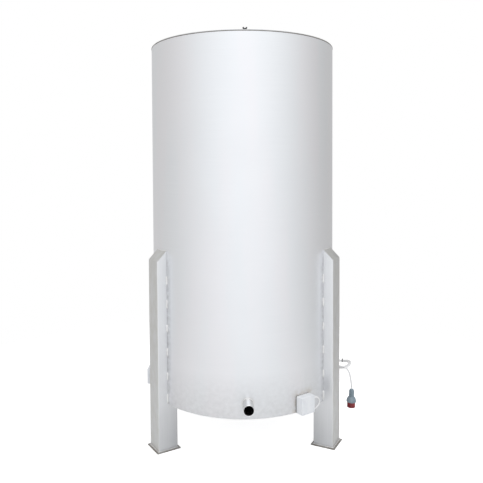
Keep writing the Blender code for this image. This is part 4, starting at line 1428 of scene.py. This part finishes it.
inner_strand = Vector(coil_point(TIE_ANGLE + 360))
outer_strand = Vector(coil_point(TIE_ANGLE + 720))
gap = outer_strand - inner_strand
strand_reach = CORD_DIAMETER / 2 + SEAT
reach_across = gap.length / 2 + strand_reach
band = new_piece("band", strap(reach_across, strand_reach, STRAP_WIDTH, STRAP_SHEET))
head = rounded_block("head", (-0.0034, -0.0034, 0.0058), (0.0034, 0.0034, 0.0112), 0.0008, 0.0006)
tail = rounded_block("tail", (-0.0006, -0.0022, 0.0100), (0.0006, 0.0022, 0.0180), 0.0004, 0.0004)
tie_turn = Matrix.Rotation(math.atan2(gap.y, gap.x), 4, "Z")
tie_place = Matrix.Translation((inner_strand + outer_strand) / 2) @ tie_turn
tie = joined("coil_strap", [band, head, tail])
settle(tie, black_plastic, ("coil_tie",), matrix=tie_place)
print("tie at", [round(v, 3) for v in tie_place.translation])

# %% [markdown]

# %% [markdown]
# ## Floor and light
#
# The picture is high key: a white room, a pale floor and soft light from the front. The
# steel shows what surrounds it, so the room is bright in front and dimmer behind, which
# gives the wall its soft fall-off to both edges. It is a little darker behind on the
# right, and brighter overhead. The camera itself sees plain white, and the floor glows
# for it, so that the shade under the tank stays as pale as in a cut-out picture.

# %% Floor
FLOOR_LEVEL, FLOOR_GLOW, FLOOR_FADE = -0.0005, 0.70, (1.2, 3.0)
form = bmesh.new()
bmesh.ops.create_circle(form, cap_ends=True, segments=96, radius=8.0)
floor = new_piece("floor", form)
floor.location.z = FLOOR_LEVEL
floor_finish, tree, shader = new_finish("floor", 0.6)
shader.inputs["Specular IOR Level"].default_value = 0.1
shader.inputs["Emission Color"].default_value = (1.0, 1.0, 1.0, 1.0)
seen = add_node(tree, "ShaderNodeLightPath").outputs["Is Camera Ray"]
paint = mixed(tree, seen, (0.70, 0.70, 0.70, 1.0), (0.93, 0.93, 0.93, 1.0))
tree.links.new(paint, shader.inputs["Base Color"])
place = add_node(tree, "ShaderNodeTexCoord").outputs["Object"]
reach = add_node(tree, "ShaderNodeVectorMath", {0: place}, operation="LENGTH").outputs["Value"]
depth = add_node(tree, "ShaderNodeSeparateXYZ", {0: place}).outputs[1]
lit = ranged(tree, depth, 0.3, -0.9, 0.02, 0.13)
glow = maths(tree, "MAXIMUM", lit, maths(tree, "MULTIPLY", seen, FLOOR_GLOW))
tree.links.new(glow, shader.inputs["Emission Strength"])
gone = ranged(tree, reach, *FLOOR_FADE, 0.0, 1.0)
clear = add_node(tree, "ShaderNodeBsdfTransparent").outputs[0]
faded = add_node(tree, "ShaderNodeMixShader", {0: gone, 1: shader.outputs[0], 2: clear})
tree.links.new(faded.outputs[0], tree.nodes["Material Output"].inputs["Surface"])
floor.data.materials.append(floor_finish)

# %% Light
ROOM_LEVEL, FRONT_LEVEL, FRONT_POWER, FRONT_LIFT = 0.62, 0.42, 2.4, 0.6
RIGHT_SHADE, CORNER_SHADE = -0.12, 0.06
OVERHEAD_FROM, OVERHEAD_GAIN = 0.72, 1.5
WARM, COOL = (1.0, 0.995, 0.99, 1.0), (0.985, 1.0, 1.02, 1.0)
LAMP_PLACE, LAMP_SIDE, LAMP_POWER = Vector((0.0, -1.0, 5.0)), 3.0, 30.0

world = bpy.data.worlds.new("studio")
bpy.context.scene.world = world
world.use_nodes = True
tree = world.node_tree
tree.nodes.clear()
direction = add_node(tree, "ShaderNodeTexCoord").outputs["Generated"]
parts = add_node(tree, "ShaderNodeSeparateXYZ", {0: direction}).outputs
front = ranged(tree, parts[1], 1.0, -1.0, 0.0, 1.0)
to_right = maths(tree, "MAXIMUM", parts[0], 0.0)
to_back = maths(tree, "MAXIMUM", parts[1], 0.0)
lobe = maths(tree, "MULTIPLY", maths(tree, "POWER", front, FRONT_POWER), FRONT_LEVEL)
lobe = maths(tree, "MULTIPLY", lobe, maths(tree, "MULTIPLY_ADD", parts[2], FRONT_LIFT, 1.0))
shade = maths(tree, "MULTIPLY", to_right, RIGHT_SHADE)
shade = maths(tree, "MULTIPLY", shade, maths(tree, "SUBTRACT", 1.0, front))
corner = maths(tree, "MULTIPLY", to_right, to_back)
shade = maths(tree, "SUBTRACT", shade, maths(tree, "MULTIPLY", corner, CORNER_SHADE))
overhead = maths(tree, "MAXIMUM", maths(tree, "SUBTRACT", parts[2], OVERHEAD_FROM), 0.0)
overhead = maths(tree, "MULTIPLY", overhead, OVERHEAD_GAIN)
level = maths(tree, "ADD", ROOM_LEVEL, overhead)
level = maths(tree, "ADD", maths(tree, "ADD", level, lobe), shade)
seen = add_node(tree, "ShaderNodeLightPath").outputs["Is Camera Ray"]
tint = mixed(tree, ranged(tree, parts[1], -1.0, 0.4, 1.0, 0.0), WARM, COOL)
room_light = add_node(tree, "ShaderNodeBackground", {"Color": tint, "Strength": level}).outputs[0]
backdrop = add_node(tree, "ShaderNodeBackground", {"Color": (1, 1, 1, 1), "Strength": 1.0}).outputs[0]
both = add_node(tree, "ShaderNodeMixShader", {0: seen, 1: room_light, 2: backdrop}).outputs[0]
add_node(tree, "ShaderNodeOutputWorld", {"Surface": both})

lamp = bpy.data.objects.new("top softbox", bpy.data.lights.new("top softbox", "AREA"))
lamp.data.shape = "RECTANGLE"
lamp.data.size = LAMP_SIDE
lamp.data.size_y = LAMP_SIDE
lamp.data.energy = LAMP_POWER
lamp.location = LAMP_PLACE
lamp.rotation_mode = "QUATERNION"
lamp.rotation_quaternion = (Vector((0.0, 0.0, 0.0)) - LAMP_PLACE).to_track_quat("-Z", "Y")
bpy.context.scene.collection.objects.link(lamp)
bpy.context.scene.view_settings.view_transform = "Standard"
print("lights made")

# %% [markdown]
# ## Last step

# The visual model has to stay inside the box of the solids.

# %% Update the view layer
bpy.context.view_layer.update()
